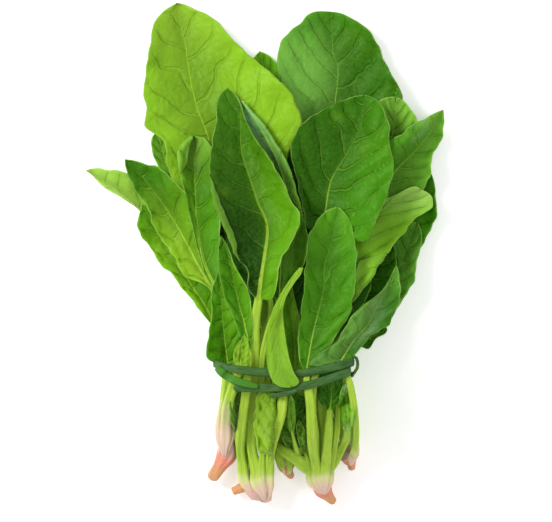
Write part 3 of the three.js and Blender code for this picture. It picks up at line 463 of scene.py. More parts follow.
# Flat tie. tiePlace holds the millimetres along, the share across and which strand it is
def tieMaterial(finish):
    n = Nodes("tieLeafStrip")
    strip = n.attribute("tiePlace")
    _, across, isStrand = n.split("tiePlace")
    fibre = n.noise(2.0, 3.0, 0.6, strip, (0.05, 6.0, 1.0))
    patch = n.noise(1.0, 2.0, 0.5, strip, (0.12, 0.8, 1.0))
    fine = n.noise(900, 2.0)
    band = n.mix(n.span(fibre, 0.35, 0.72, 0.0, 0.75), finish["band"], finish["bandLight"])
    band = n.mix(n.span(patch, 0.35, 0.7, 0.0, 0.5), band, finish["edge"])
    strand = n.mix(n.span(fibre, 0.3, 0.8, 0.0, 0.35), finish["strand"], finish["bandLight"])
    colour = n.mix(isStrand, band, strand)
    # painted shade: darker along both edges of the strip, where its rounded sides turn from the
    # light
    colour = n.mix(n.span(n.math("ABSOLUTE", across), 0.8, 1.0, 0.0, 0.5), colour, finish["edge"])
    height = n.plus(fibre, n.times(fine, 0.15))
    normal = n.bump(height, 0.8, 0.0004)
    return n.finish(colour, n.span(fibre, 0.2, 0.8, 0.40, 0.56), normal, Specular_IOR_Level=0.3,
                    Specular_Tint=(0.8, 1.0, 0.6, 1.0))


tieStrip = tieMaterial(tieFinish)
print("materials ready")

# Each crown: middle, half width and half height, length down to the root, how far its green
# and pink run up the stalks, the root's points and its radius at each end
crownShapes = {
    "crown_left": {
        "at": (-21.5, -98.5), "pink": (-12, 24), "lean": -1, "size": (8.2, 10.5), "length": 17,
        "root": [(-22, -116), (-26, -123), (-31.5, -131.5)], "rootSize": (4.6, 3.3),
    },
    "crown_front_left": {
        "at": (-4.5, -125.5), "pink": (-15, 3), "lean": 4, "size": (11.4, 10.5), "length": 15.5,
        "root": [(-1.2, -136), (0, -140.5), (0.6, -144.5)], "rootSize": (4.8, 3.4), "redness": 0.1,
        "stub": [(-8, -133.5, 7), (-13, -135.6, 6.4), (-19, -138.2, 5.4)],
    },
    "crown_front_right": {
        "at": (33, -125.5), "pink": (-13, 4), "lean": 1, "size": (9.2, 10.5), "length": 12,
        "root": [(34, -137), (37, -141), (40.5, -145)], "rootSize": (4.2, 2.0),
    },
    "crown_right": {
        "at": (49, -111.5), "pink": (-10, 10), "lean": 0, "size": (6.8, 9.5), "length": 10,
        "root": [(49.4, -120), (50, -123), (50, -126)], "rootSize": (2.8, 1.8), "redness": 0.8,
    },
    "crown_middle": {
        "at": (11.5, -112.5), "pink": (-24, -8), "lean": 1, "size": (7.2, 9.5), "length": 14,
        "root": [(13, -125.5), (14.5, -128), (16, -130.5)], "rootSize": (2.6, 1.8), "redness": 0.8,
    },
}
crownGrid = (46, 56)
stubGrid = (22, 30)


# Crowns: a ridged, slightly flattened bulb of leaf sheaths that narrows to the taproot stub
def makeCrown(name, shape, seed):
    x, y = shape["at"]
    wide, high = shape["size"]
    length = shape["length"]
    sheath = [(-4.0, 0.30, 0.30), (1.0, 0.55, 0.55), (0.35 * length, 0.66, 0.70),
              (0.68 * length, 0.60, 0.66)]
    stations = [(x, y - down, wide * across, high * up, high) for down, across, up in sheath]
    end = len(shape["root"]) - 1
    thick, thin = shape["rootSize"]
    for i, p in enumerate(shape["root"]):
        r = thick + (thin - thick) * i / end
        z = high - (high - r) * 0.45 * float(smoothStep(2, 3 + end, 3 + i))
        stations.append((*p, r * 1.25 if i == 0 else r, r * 1.2 if i == 0 else r, z))
    rows, around = crownGrid
    share = np.linspace(0, 1, rows)[:, None]
    x, y, wide, high, z = lineThrough(stations)[0](share[:, 0]).T[..., None]
    ahead = unit(np.gradient(np.concatenate([x, y], 1), axis=0))
    turn = np.linspace(0, 2 * math.pi, around, endpoint=False)[None]
    root = smoothStep(0.55, 1.0, share)
    ridges = 0.055 * np.cos(turn * 7 + seed + 1.5 * share) + 0.03 * np.cos(turn * 13 + seed * 2)
    lumps = 0.035 * waves(turn * 2.0, share * 16, seed) * (0.4 + root)
    swell = 1 + ridges * (1 - 0.75 * root) + lumps
    swell[:2] *= [[0.0], [0.75]]
    swell[-3:] *= [[0.93], [0.72], [0.0]]
    side = wide * np.cos(turn) * swell
    rise = high * np.sin(turn) * swell
    rings = np.stack([x - ahead[:, 1:] * side, y + ahead[:, :1] * side,
                      np.maximum(z + rise, 0.02)], -1)
    redness = ((share - 0.5) / 0.5).clip(0, 1) * shape.get("redness", 1)
    crownSkin(name + "_skin", rings, share, np.sin(turn) + 0.5 * np.cos(turn), redness, name)


# Broken side root: a short tapered stick with a clean end
def makeStub(name, path, seed):
    rows, around = stubGrid
    share = np.linspace(0, 1, rows)[:, None]
    line = lineThrough(path)[0](share[:, 0])
    ahead = unit(np.gradient(line, axis=0))
    side = np.cross(ahead, upwards)
    rise = np.cross(side, ahead)
    turn = np.linspace(0, 2 * math.pi, around, endpoint=False)[None]
    radius = 3.2 - 0.7 * share
    radius[[0, -1]] = 0
    radius[-2] *= 0.94
    radius = radius * (1 + 0.05 * waves(turn * 2, share * 9, seed))
    rings = (line[:, None] + side[:, None] * (np.cos(turn) * radius)[..., None]
             + rise[:, None] * (np.sin(turn) * radius)[..., None])
    crownSkin(name + "_stub", rings, 0.6 + 0.4 * share, np.sin(turn), 0.45 + 0.55 * share, name)


def crownSkin(name, rings, along, turn, redness, node):
    place = np.stack(np.broadcast_arrays(along, turn, redness), -1)
    closedSkin(name, rings, {"crownPlace": place}, crownGreenToPink, node)


for seed, (crownName, crownShape) in enumerate(crownShapes.items()):
    makeCrown(crownName, crownShape, seed * 1.9)
    if crownShape.get("stub"):
        makeStub(crownName, crownShape["stub"], seed + 2.0)
print("crowns built")

# Leaf outlines in plan, as x, y, x, y. stalk runs from the crown to the blade's foot, rib on
# to the tip, left and right are the edges. tint is the green of the left half, the right half
# and the tip, from tipFrom of the way up; for some leaves a half is set lighter or darker than
# its green, to paint the light and shade falling on it. In millimetres: ruffle, puff and crumple
# for waves, quilting and folds, lift for height over what is below, drop for the stretch in which
# the stalk comes down to its crown, ribHalf for half the rib. veins is their paleness and
# stalkSize a share of the usual. over: the stalk lies on top of its crown. node: the CAD node
# that an extra leaf goes with. roll: side, from, to, width and height of a rolled margin.
leafShapes = {
    "leaf_left_far": {
        "stalk": [-25.5, -98, -21.5, -68, -24.5, -46, -33, -23, -46, -3],
        "rib": [-55, 4, -75, 27, -90, 39, -104, 48],
        "left": [-62, 10, -71, 25, -77, 28, -83, 32, -90, 36, -96, 40, -100, 45],
        "right": [-56, 20, -66, 38, -80, 46.5, -89, 48, -95, 49.4, -100, 49.2],
        "tint": ((172, 212, 96), (150, 198, 66), (164, 208, 84)), "ruffle": 1.0, "veins": 0.15,
    },
    "leaf_left_low": {
        "stalk": [-21, -98, -21.5, -68, -24.6, -56],
        "rib": [-27.5, -47, -34, -32, -48, -11, -60, 8, -71, 28],
        "left": [-32, -40, -38.5, -32.5, -43.5, -25, -50, -18.6, -53, -12, -61, -7, -65, 2,
            -72, 10, -74, 17],
        "right": [-25, -38, -30, -22, -40, 0, -50, 18, -62, 28],
        "tint": ((126, 180, 30), (90, 156, 12), (92, 158, 16)), "ruffle": 1.2,
    },
    "leaf_right_far": {
        "stalk": [52, -111, 45.3, -68, 47.5, -54, 57, -32],
        "rib": [66, -12, 78, 8, 88, 28, 96, 47],
        "left": [60, 0, 66, 20, 76, 36, 88, 46],
        "right": [76, -10, 86, -4, 90, 3, 94.3, 11, 98, 16, 99.3, 23.5, 99, 35, 98, 42],
        "tint": ((48, 116, 8), (62, 132, 10), (52, 118, 8)), "ruffle": 1.2,
    },
    "leaf_top_small": {
        "stalk": [14.5, -112, 12, -68, 4, -10],
        "rib": [0, 66, 1, 95, -3, 117],
        "left": [-10, 75, -13, 95, -9, 110],
        "right": [8, 78, 9.5, 98, 7, 110, 1, 115.6],
        "tint": ((104, 168, 20), (104, 168, 20), (100, 164, 16)), "ruffle": 0.8,
    },
    "leaf_right_bit": {
        "stalk": [52, -111, 45.3, -68, 45.8, -60],
        "rib": [53, -54, 63, -48, 71, -44.5],
        "left": [57, -50, 62, -43, 69, -40.5],
        "right": [60, -56, 64.5, -49, 69.5, -47.4],
        "tint": ((44, 108, 6), (48, 110, 8), (44, 108, 6)), "ruffle": 0.8,
    },
    "leaf_back_right": {
        "stalk": [33, -125, 20.3, -68, 25, -10, 32, 40],
        "rib": [35, 54, 41, 92, 42, 107.6, 39.2, 116, 38.8, 126, 38, 140],
        "left": [20, 64, 10, 85, 9, 100, 6.7, 110.5, 8.7, 122, 12.3, 126, 16.7, 130, 21.8, 135,
            26, 139, 30, 140.2],
        "right": [58, 60, 75, 76, 80.5, 90, 78.3, 94.5, 74.7, 100, 70, 110, 65.3, 120, 62.5, 125.7,
            60, 130, 55, 133, 50, 136, 43.5, 139.5],
        # painted sheen: the left half's green is set much lighter than the right half's
        "tint": ((112, 172, 66), (48, 108, 4), (64, 132, 14)), "ruffle": 1.2, "ribHalf": 0.4,
        "veins": 0.3, "puff": 0.7,
    },
    "leaf_right_small": {
        "stalk": [46, -111, 37, -68, 48, -10, 60, 34],
        "rib": [67, 52, 74, 70, 76, 90.2],
        "left": [58, 60, 60, 75, 64, 87, 70, 90],
        "right": [80, 58, 88, 66, 89, 76, 86.3, 80, 83.4, 84, 80.5, 88],
        "tint": ((104, 166, 44), (116, 176, 48), (124, 182, 58)), "ruffle": 0.8,
    },
    "leaf_left_small": {
        "stalk": [-23.5, -98, -21.6, -84, -16, -68, -28, -20, -40, 14],
        "rib": [-46, 28, -56.5, 50, -62.5, 70.5],
        "left": [-55, 36, -61, 49, -65, 57, -66.3, 63, -65.8, 67.5],
        "right": [-46, 42, -50, 55, -57, 66],
        "tint": ((122, 178, 50), (114, 172, 44), (110, 168, 44)), "ruffle": 0.9,
    },
    "leaf_back_left": {
        "stalk": [8, -112, 3.6, -68, -5, -20, -14, 12],
        "rib": [-20, 29, -28, 51, -35, 73, -39, 83, -43, 99, -46.4, 121, -49, 132, -51, 145],
        "left": [-46, 35, -51, 39, -57, 50, -57, 63, -66, 70, -71, 75, -67.6, 81, -70, 90,
            -69.7, 99.6, -67.4, 114, -64.5, 132, -60, 139.5],
        "right": [-3, 33, 10, 48, 16, 62, 23, 77, 18, 84, 16.7, 90.6, 8.7, 99.6, 3, 104, -3.6, 110,
            -11, 116, -19.6, 124, -22.5, 129, -30, 136, -40, 141, -47, 144.6],
        "tint": ((132, 180, 36), (130, 180, 28), (146, 190, 48)), "ruffle": 1.0, "ribHalf": 0.45,
        "veins": 0.3, "puff": 0.4,
    },
    "leaf_right_point": {
        "stalk": [52, -111, 45.3, -68, 47.5, -50, 56, -15, 62, 12],
        "rib": [66, 27, 75, 47, 85.6, 58, 94, 68, 103.3, 83],
        "left": [60, 40, 64, 56, 73, 65, 81, 71, 89, 76, 94, 79, 100, 82],
        "right": [76, 28, 88, 33, 94.3, 40, 95.7, 49.6, 97, 56, 100, 62, 103, 68, 104, 76],
        "tint": ((74, 142, 22), (108, 172, 46), (108, 170, 48)), "ruffle": 1.6, "ribHalf": 0.5,
        "veins": 0.26,
    },
    "leaf_right_ribbed": {
        "stalk": [52, -111, 45.3, -68, 46.5, -58],
        "rib": [60, -44, 70, -26, 78, -8, 84, 8, 88, 18],
        "left": [56, -34, 60, -15, 68, 5, 79, 16],
        "right": [68, -43, 78.3, -29, 82.7, -22, 85.6, -17.8, 87.4, -12.8, 87, -7, 88.5, -2.6,
            90, 3, 91, 12],
        "tint": ((66, 134, 22), (96, 158, 48), (84, 146, 38)), "ruffle": 1.2, "ribHalf": 0.5,
        "veins": 0.35,
    },
    "leaf_right_inner": {
        "stalk": [28, -125, 24.2, -110, 26, -98, 27.4, -84, 28.6, -66],
        "rib": [45, -40, 56, -22, 64, -5, 72, 9],
        "left": [44, -30, 50, -12, 58, 2, 66, 9.5],
        "right": [54, -38, 66, -26, 74, -12, 76, 0],
        "tint": ((42, 102, 6), (46, 108, 8), (44, 106, 8)), "ruffle": 1.0,
    },
    "leaf_right_curled": {
        "stalk": [38, -125, 40, -112, 41.6, -98, 42, -84, 41, -68, 43, -48],
        "rib": [46, -33, 46, -10, 54, 11, 71, 27, 90, 36.6],
        "left": [40, -24, 39, -5, 46, 17, 60, 29, 72.5, 32, 80, 36.4, 88, 38.8],
        "right": [51.5, -27, 58, -18.6, 65.3, -7.7, 72.5, 2.5, 79, 10.4, 85.6, 18.4, 92.8, 24,
            98, 27, 97.5, 30, 95, 34.4],
        "tint": ((94, 160, 12), (124, 184, 34), (160, 206, 92)), "ruffle": 1.0, "ribHalf": 0.4,
        "veins": 0.12, "over": True, "stalkSize": 0.6, "roll": (1, 0.0, 0.46, 15, 5),
    },
    "leaf_middle_right": {
        "stalk": [33, -125, 33.6, -106, 31.6, -84, 28.6, -68, 30, -20],
        "rib": [33, 11, 35, 25, 37.7, 40, 41, 47.4, 47, 57, 53, 68.4, 56, 78.6, 57.3, 91.3],
        "left": [24, 14, 21.8, 27, 19.6, 34.4, 16.7, 49.6, 13.8, 60.5, 16.7, 67.7, 20.3, 72.8,
            23.2, 77, 34.8, 83, 40.6, 86.6, 48, 89.5],
        "right": [50, 6, 59.5, 7.5, 63, 16, 69, 30, 73.2, 41.6, 74, 52, 71.8, 61, 71.8, 70,
            70.3, 77, 68.5, 83, 66, 87.3, 62, 90],
        # painted light and shade: the right half's green is lighter than the left half's, for the
        # half facing the lamp
        "tint": ((42, 100, 4), (62, 130, 8), (54, 118, 6)), "ruffle": 1.2, "ribHalf": 0.45,
        "veins": 0.3, "over": True, "stalkSize": 0.72, "puff": 1.15,
    },
    "leaf_left_point": {
        "stalk": [-25.5, -98, -21.5, -68, -23, -45],
        "rib": [-28, -26, -38, -8, -52, 18, -66, 38, -81, 54.3],
        "left": [-32, -20, -37.7, -16.7, -46.4, -13.5, -51.5, -4, -55, 1.7, -61, 9.7, -65.3, 17.7,
            -67.4, 26.4, -71.8, 31.5, -75.4, 36.5, -80, 47.4, -81.4, 52],
        "right": [-25, -16, -29, 0, -37, 20, -46, 35, -56, 45, -61, 50, -66.7, 50.7, -74.7, 53.6],
        "tint": ((150, 196, 44), (122, 176, 22), (42, 112, 2)), "ruffle": 1.2, "ribHalf": 0.8,
        "tipFrom": 0.2,
    },
    "leaf_front_narrow": {
        "stalk": [27, -125, 23, -117, 16, -103, 17, -72],
        "rib": [17.5, -70, 17, -50, 15, -34, 13, -20, 12, -6],
        "left": [12.5, -66, 11, -50, 10, -38, 8.6, -24, 9, -13],
        "right": [22, -67, 23.4, -56, 22, -45, 19, -33, 16.4, -22, 14.5, -13],
        # painted light: this green is lighter than the leaf's own, to offset the shade it lies in
        "tint": ((110, 184, 26), (150, 214, 56), (112, 184, 30)), "ruffle": 0.8, "ribHalf": 0.3,
        "veins": 0.2, "over": True, "stalkSize": 0.5, "lift": 9,
    },
    "leaf_front_oval": {
        "stalk": [30, -125, 27.5, -112, 26, -84, 24.4, -76],
        "rib": [23.4, -69, 28, -44, 34, -20, 34, -8, 39, 9, 42, 26.5],
        "left": [20, -63, 18.8, -52, 19.4, -43.4, 21.8, -23.6, 23, -9, 25.4, 12, 29.7, 18,
            35.5, 24.6],
        "right": [29.6, -63, 36, -54, 41.4, -46.6, 46, -39.5, 49, -34, 51.5, -18.6, 52.6, -2,
            50.8, 12, 47, 22],
        "tint": ((72, 142, 16), (64, 130, 12), (82, 150, 24)), "ruffle": 1.0, "ribHalf": 0.35,
        "veins": 0.2, "over": True, "stalkSize": 0.85,
    },
    "leaf_right_rolled": {
        "stalk": [50.5, -117, 52.2, -108, 52, -98, 50.4, -84, 47, -70],
        "rib": [42, -63.5, 51, -49.3, 59, -40, 64.5, -29, 72, -18, 75.5, -7],
        "left": [30, -65, 23, -64, 28, -60, 34.2, -54.4, 41, -51.6, 45, -43.1, 49.7, -35.4,
            57.4, -28.4, 65.2, -23.8, 71.3, -15.3],
        "right": [49.5, -61, 55, -54, 60.5, -47.5, 71, -41.8, 72.5, -38, 75.4, -33.8, 77.6, -27.3,
            77.6, -18.6, 77, -11],
        "tint": ((94, 146, 58), (72, 142, 34), (86, 148, 46)), "ruffle": 1.9, "ribHalf": 0.4,
        "veins": 0.3, "over": True, "stalkSize": 0.62, "drop": 46,
    },
    "leaf_left_channel": {
        "stalk": [-22, -98, -20.5, -85, -15, -68, -20, -40],
        "rib": [-27, -22, -34.8, -5.5, -38.8, 15, -40, 29, -40.6, 44, -41, 67.5],
        "left": [-33, -16, -38, 0, -42.8, 19, -46.4, 36.5, -49.3, 47, -49.7, 59.7, -46, 65],
        "right": [-23, -18, -25.5, -8, -26, 4, -25, 22, -26, 40, -29, 56, -34, 66],
        "tint": ((104, 164, 30), (72, 136, 6), (124, 176, 56)), "ruffle": 0.8, "ribHalf": 1.1,
        "stalkSize": 0.7, "roll": (0, 0.7, 1.2, 9, 5),
    },
    "leaf_front_dark": {
        "stalk": [2.4, -125, 3.2, -116, 6.6, -101, 9.6, -90, 10, -68],
        "rib": [8, -29, 9, -5, 11, 20, 6, 45, -2, 65, -14, 88],
        "left": [2, -22, -4, 0, -6, 30, -14, 55, -19, 76],
        "right": [10.2, -25, 13.8, -17, 19, -12, 23, -5.5, 24.9, 6.8, 22.5, 20, 20.3, 27.8,
            17.4, 38, 13, 51.8, 6.5, 62.6, -0.7, 74, -9, 83],
        # painted light: the tip green is lighter, to offset the shadow the fold above casts on the
        # rolled margin
        "tint": ((34, 90, 4), (92, 152, 36), (130, 190, 120)), "ruffle": 0.8, "ribHalf": 0.3,
        "over": True, "stalkSize": 0.85, "tipFrom": 0.45, "roll": (1, 0.4, 1.1, 6, 3),
    },
    "leaf_left_lobed": {
        "stalk": [-25, -98, -21.5, -78],
        "rib": [-21, -66, -23.5, -45, -25, -28, -26.5, -11],
        "left": [-27, -63.5, -33.6, -61, -34, -55, -32.3, -49, -31.3, -39.5, -30.3, -33, -31, -24,
            -29, -16],
        "right": [-16, -63, -14.2, -52, -14.2, -43.4, -15.8, -38.5, -19, -30, -22.5, -19],
        "tint": ((78, 146, 12), (92, 158, 18), (80, 148, 14)), "ruffle": 1.2, "ribHalf": 0.4,
        "veins": 0.22,
    },
    "leaf_front_fold": {
        "stalk": [-4.5, -126, -7.6, -112, -7.4, -98, -6.6, -82, -6.6, -63, -5.8, -42],
        "rib": [-3.8, -28, -1.5, -10.6, 1.5, 13, 0, 20.6, -3.6, 27.8, -6.5, 36.5, -10.2, 47.4,
            -13, 56, -14, 63.6, -13.8, 74, -15, 85, -21.4, 95],
        "left": [-10.2, -19.3, -9.2, -10, -14.5, -4.8, -17, -1, -22.5, 13, -26.8, 22, -30, 31.5,
            -31, 41.6, -31.9, 51, -30.5, 62, -29.7, 69, -27.6, 77, -28.3, 84.4, -25, 93],
        "right": [4, -27, 7.3, -16, 9, -4, 14.5, 4, 17.4, 10.4, 21, 19, 19, 25.3, 13.4, 31,
            13.4, 36.5, 10, 41.6, 5, 50, 2, 56, -3, 62, -8, 70, -12.3, 80, -13.8, 86.6, -17.4, 92],
        # painted shade: the left half's green is set very dark, for the shaded side of the fold
        "tint": ((10, 56, 1), (88, 150, 6), (66, 126, 12)), "ruffle": 1.0, "ribHalf": 1.3,
        "veins": 0.2, "over": True, "stalkSize": 1.08, "tipFrom": 0.3, "lift": 7.0,
        "roll": (0, 0.18, 0.62, 4, 3),
    },
    "leaf_front_strip": {
        "stalk": [-12.6, -125, -14.2, -113, -12.9, -97, -10.8, -81, -9.6, -66],
        "rib": [-9, -57, -10.5, -45, -15, -28, -18.5, -12, -22, 2, -25, 10],
        "left": [-12.6, -51, -17.7, -38, -21, -30.5, -24.2, -21.5, -26, -12, -26.8, 2],
        "right": [-6.8, -52, -6.8, -39.5, -7.6, -30, -9.6, -20, -13.6, -13, -16.6, -8.6, -21, 4],
        "tint": ((64, 128, 8), (84, 148, 14), (64, 126, 8)), "ruffle": 0.7, "ribHalf": 0.5,
        "over": True, "stalkSize": 0.85,
    },
    "leaf_front_bit": {
        "stalk": [-22.5, -98, -21, -86, -16, -71],
        "rib": [-14, -67, -13.8, -57, -12, -46],
        "left": [-17, -65, -17.8, -58, -16, -52, -13, -49],
        "right": [-9.4, -66, -8.4, -58, -9, -51],
        "tint": ((146, 192, 50), (138, 186, 42), (116, 170, 30)), "ruffle": 1.6, "ribHalf": 0.3,
        "veins": 0.1, "crumple": 1.7, "puff": 0.5,
    },
    "young_leaf_middle": {
        "stalk": [14.5, -112, 15.5, -107],
        "rib": [17, -115, 16, -101, 15.5, -90, 16.5, -78],
        "left": [12.5, -112, 9, -104, 8.5, -94, 10, -84],
        "right": [21.5, -112, 24, -102, 24.5, -92, 23, -82],
        "tint": ((64, 120, 14), (36, 88, 8), (52, 110, 10)), "ruffle": 1.2, "ribHalf": 0.4,
        "veins": 0.5, "stalkSize": 0.5, "crumple": 1.6, "puff": 0.7,
    },
    "young_leaf_right": {
        "stalk": [34.6, -125, 35.6, -112, 36.6, -98],
        "rib": [37, -90, 38, -80, 38, -64],
        "left": [33, -88.6, 29.8, -84, 29.6, -76, 30, -68],
        "right": [41, -88.6, 44.6, -84, 45, -76, 45, -69],
        "tint": ((36, 98, 6), (54, 120, 12), (46, 110, 6)), "ruffle": 1.2, "ribHalf": 0.3,
        "veins": 0.15, "over": True, "stalkSize": 0.8, "crumple": 0.8, "puff": 0.8,
    },
    "young_leaf_edge": {
        "stalk": [51, -111, 49.5, -106],
        "rib": [48.5, -103, 48, -92, 48, -82],
        "left": [45, -99, 44.5, -91, 46, -85],
        "right": [51, -98, 51.5, -91, 50.5, -85],
        "tint": ((66, 130, 12), (84, 148, 20), (66, 130, 12)), "ruffle": 1.0, "veins": 0.4,
        "stalkSize": 0.5, "puff": 1.0,
    },
    "young_leaf_left": {
        "stalk": [-18.5, -98, -18, -96],
        "rib": [-17.5, -94, -17.2, -87, -17.5, -81],
        "left": [-20, -92, -20.5, -87, -20, -83],
        "right": [-15.5, -92, -14.5, -87, -15, -83],
        "tint": ((84, 144, 18), (74, 136, 14), (74, 136, 14)), "ruffle": 0.9, "stalkSize": 0.5,
        "puff": 1.0,
    },
    "young_leaf_side": {
        "stalk": [27, -126, 20, -119.8, 11, -113.6],
        "rib": [6.5, -110.5, 3, -105, 1, -97],
        "left": [2, -110, -1.5, -104, -2, -99],
        "right": [8, -108, 7, -102, 4, -97],
        "tint": ((66, 126, 10), (78, 138, 16), (60, 122, 10)), "ruffle": 1.2, "veins": 0.6,
        "over": True, "stalkSize": 1.0, "puff": 1.2,
    },
    "young_leaf_front": {
        "stalk": [3, -125, 3.4, -121],
        "rib": [4, -118, 6.8, -107, 9, -96, 9, -86, 7.5, -76],
        "left": [-1, -117, -5, -111, -6.4, -103, -6.4, -94, -5.6, -86, -3.4, -78],
        "right": [6.5, -113, 9.3, -103, 11.2, -94, 11.5, -87, 10.6, -79],
        "tint": ((134, 178, 36), (140, 184, 44), (112, 158, 28)), "ruffle": 1.3, "ribHalf": 0.5,
        "veins": 0.35, "over": True, "stalkSize": 0.62, "crumple": 2.4, "puff": 0.4,
    },
    "young_leaf_tuck": {
        "stalk": [-12.5, -124, -15.5, -111],
        "rib": [-16.2, -104, -15.4, -93, -15, -80],
        "left": [-18.6, -100, -20.2, -92, -19.8, -84],
        "right": [-13.4, -100, -10.6, -92, -10.6, -84],
        "tint": ((124, 170, 46), (136, 180, 52), (112, 160, 42)), "ruffle": 1.2, "ribHalf": 0.4,
        "veins": 0.4, "node": "leaf_front_strip", "stalkSize": 0.5, "lift": 15, "crumple": 2.0,
        "puff": 0.5,
    },
    "young_leaf_crease": {
        "stalk": [20, -122, 18, -112],
        "rib": [16, -105, 14.6, -94, 14, -80],
        "left": [13.2, -101, 11.8, -93, 11.8, -84],
        "right": [17.2, -101, 17.6, -93, 16.8, -84],
        "tint": ((134, 186, 54), (100, 160, 34), (112, 168, 42)), "ruffle": 1.2, "ribHalf": 0.4,
        "veins": 0.3, "node": "young_leaf_middle", "stalkSize": 0.5, "crumple": 1.6, "puff": 0.4,
    },
    "young_leaf_wisp": {
        "stalk": [27, -126, 24.5, -119],
        "rib": [23.2, -115, 21.4, -106, 19.4, -95],
        "left": [21, -113, 18.6, -106, 17.8, -99],
        "right": [24.4, -111, 23.8, -104, 21.6, -98],
        "tint": ((72, 128, 20), (92, 148, 28), (84, 140, 24)), "ruffle": 1.2, "ribHalf": 0.4,
        "veins": 0.8, "node": "leaf_front_narrow", "stalkSize": 0.45, "crumple": 1.6, "puff": 0.6,
    },
    "young_leaf_sliver": {
        "stalk": [37, -125, 42, -116, 46.5, -107],
        "rib": [47.4, -102, 47, -88, 45.6, -74],
        "left": [44.6, -101, 43, -94, 42.6, -86, 43, -78],
        "right": [50, -100, 50.8, -91, 50, -82],
        "tint": ((100, 160, 34), (126, 186, 52), (100, 160, 30)), "ruffle": 1.2, "ribHalf": 0.4,
        "veins": 0.2, "node": "young_leaf_edge", "over": True, "stalkSize": 0.8, "lift": 5,
        "crumple": 1.8, "puff": 0.5,
    },
    "leaf_over_tie": {
        "stalk": [-2, -125, -1, -106, 0, -84, -1.8, -65, 3, -42, 11, -24, 20, -10],
        "rib": [21.4, -7.5, 14.6, -18, 10.6, -25.5, 7.6, -36, 6.8, -48, 8.5, -63, 15.5, -76.5],
        "left": [18, -10, 12.4, -18, 8.4, -24, 5, -31, 2.4, -39, 1.1, -50, 1.2, -64, 4, -72.5,
            8.7, -76.6],
        "right": [22, -10, 16, -18, 12.2, -24.6, 10.4, -32, 10.6, -40, 12, -49, 14, -60, 17, -69,
            20.5, -74],
        "tint": ((136, 188, 24), (142, 192, 30), (126, 180, 22)), "ruffle": 0.3, "ribHalf": 0.15,
        "veins": 0.0, "stalkSize": 0.62, "puff": 0.0,
    },
}

# Leaves mostly covered by the others, as pointed ovals: stalk, blade foot, tip, half width
coveredLeaves = {
    "leaf_under_1": ([8, -112, 12, -66, 10, -40], (8, -14), (-6, 92), 30),
    "leaf_under_2": ([-17, -98, -13, -66, -15, -40], (-20, -15), (-50, 58), 21),
    "leaf_under_3": ([41, -112, 39.6, -99, 35.6, -90, 37, -66, 38, -40], (44, -15), (74, 52), 20),
    "leaf_under_4": ([8, -112, 3.6, -66, 0, -30], (-6, 0), (-36, 118), 28),
    "leaf_under_5": ([27, -125, 28.6, -66, 28, -30], (32, 0), (44, 112), 27),
    "leaf_under_6": ([14.5, -112, 20.3, -66, 22, -45], (26, -30), (50, 66), 20),
    "leaf_under_7": ([14.5, -112, 20.3, -66, 14, -50], (12, -40), (22, 50), 19),
    "leaf_under_8": ([-9.4, -124, -10.8, -113, -6, -80, -4.4, -66, -3, -52],
                     (-6, -36), (-40, 30), 17),
    "leaf_under_9": ([32, -124, 31, -108, 31.4, -97, 33.4, -86, 39.5, -68],
                     (38, -44), (58, 22), 15),
    "leaf_under_10": ([-1, -125, 1.6, -66, -1.6, -53, 3.4, -36], (3.6, -27), (-17, 60), 18),
    "leaf_under_11": ([30, -125, 29, -106, 27, -84, 30, -66, 36, -58], (40, -52), (50, -30), 6),
}


def ovalShape(stalk, foot, tip, half):
    along = np.subtract(tip, foot)
    across = np.array([-along[1], along[0]]) / np.linalg.norm(along)
    shares = np.array([0.08, 0.25, 0.45, 0.65, 0.82, 0.94])[:, None]
    middle = foot + along * shares
    outward = across * half * np.sin(math.pi * shares ** 0.8) ** 0.8
    left, right = middle + outward, middle - outward
    return {"stalk": pairs(stalk), "rib": [foot, tip], "left": left, "right": right,
            "tint": ((58, 118, 32), (66, 128, 38), (60, 122, 34)), "ruffle": 1.4}


for leafShape in leafShapes.values():
    for key in ("stalk", "rib", "left", "right"):
        leafShape[key] = pairs(leafShape[key])
for leafName, ovalValues in coveredLeaves.items():
    leafShapes[leafName] = ovalShape(*ovalValues)

# From the table up; leaf_over_tie comes after the tie
layingOrder = [
    "leaf_under_1", "leaf_under_2", "leaf_under_3", "leaf_under_4", "leaf_under_5",
    "leaf_left_far", "leaf_left_low", "leaf_right_far", "leaf_top_small", "leaf_right_bit",
    "leaf_under_6", "leaf_back_right", "leaf_right_small", "leaf_left_small", "leaf_under_7",
    "leaf_back_left", "leaf_right_point", "leaf_right_ribbed", "leaf_under_8", "leaf_right_inner",
    "leaf_under_9", "leaf_right_curled", "leaf_under_10", "leaf_middle_right", "young_leaf_right",
    "leaf_left_point", "leaf_under_11", "leaf_front_narrow", "young_leaf_middle",
    "young_leaf_edge", "young_leaf_left", "young_leaf_side", "young_leaf_crease",
    "young_leaf_wisp", "leaf_front_oval", "young_leaf_sliver", "leaf_right_rolled",
    "leaf_left_channel", "leaf_front_dark", "leaf_left_lobed", "young_leaf_tuck",
    "leaf_front_fold", "leaf_front_strip", "leaf_front_bit", "young_leaf_front",
]

stalkSizes = {
    "halfWidth": (2.2, 3.3),  # at the crown, and further up
    "halfHeight": (2.1, 2.9),
    "footDrop": 24.0,  # the stretch over which a stalk comes down to its crown
    "overPile": 1.5,
    "flutes": 0.04,
    "size": 0.7,
    "sizeAtLeftCrown": 0.85,
    "rowStep": 3.0,
}
bladeSizes = {
    "thickness": 0.55,
    "underCad": 0.45,  # from the CAD skin to the middle of the blade
    "overPile": 0.8,
    "gap": 0.12,  # clear space over what is already laid
    "mostPush": 6.0,
    "ribDepth": 1.5,
    "rowStep": {"open": 1.6, "covered": 2.6, "rolled": 1.6},
    "rows": (22, 72),
    "halfColumns": {"open": 14, "covered": 8, "rolled": 20},
}


def nearestCrown(x, y):
    return min(crownShapes.values(), key=lambda c: math.hypot(c["at"][0] - x, c["at"][1] - y))


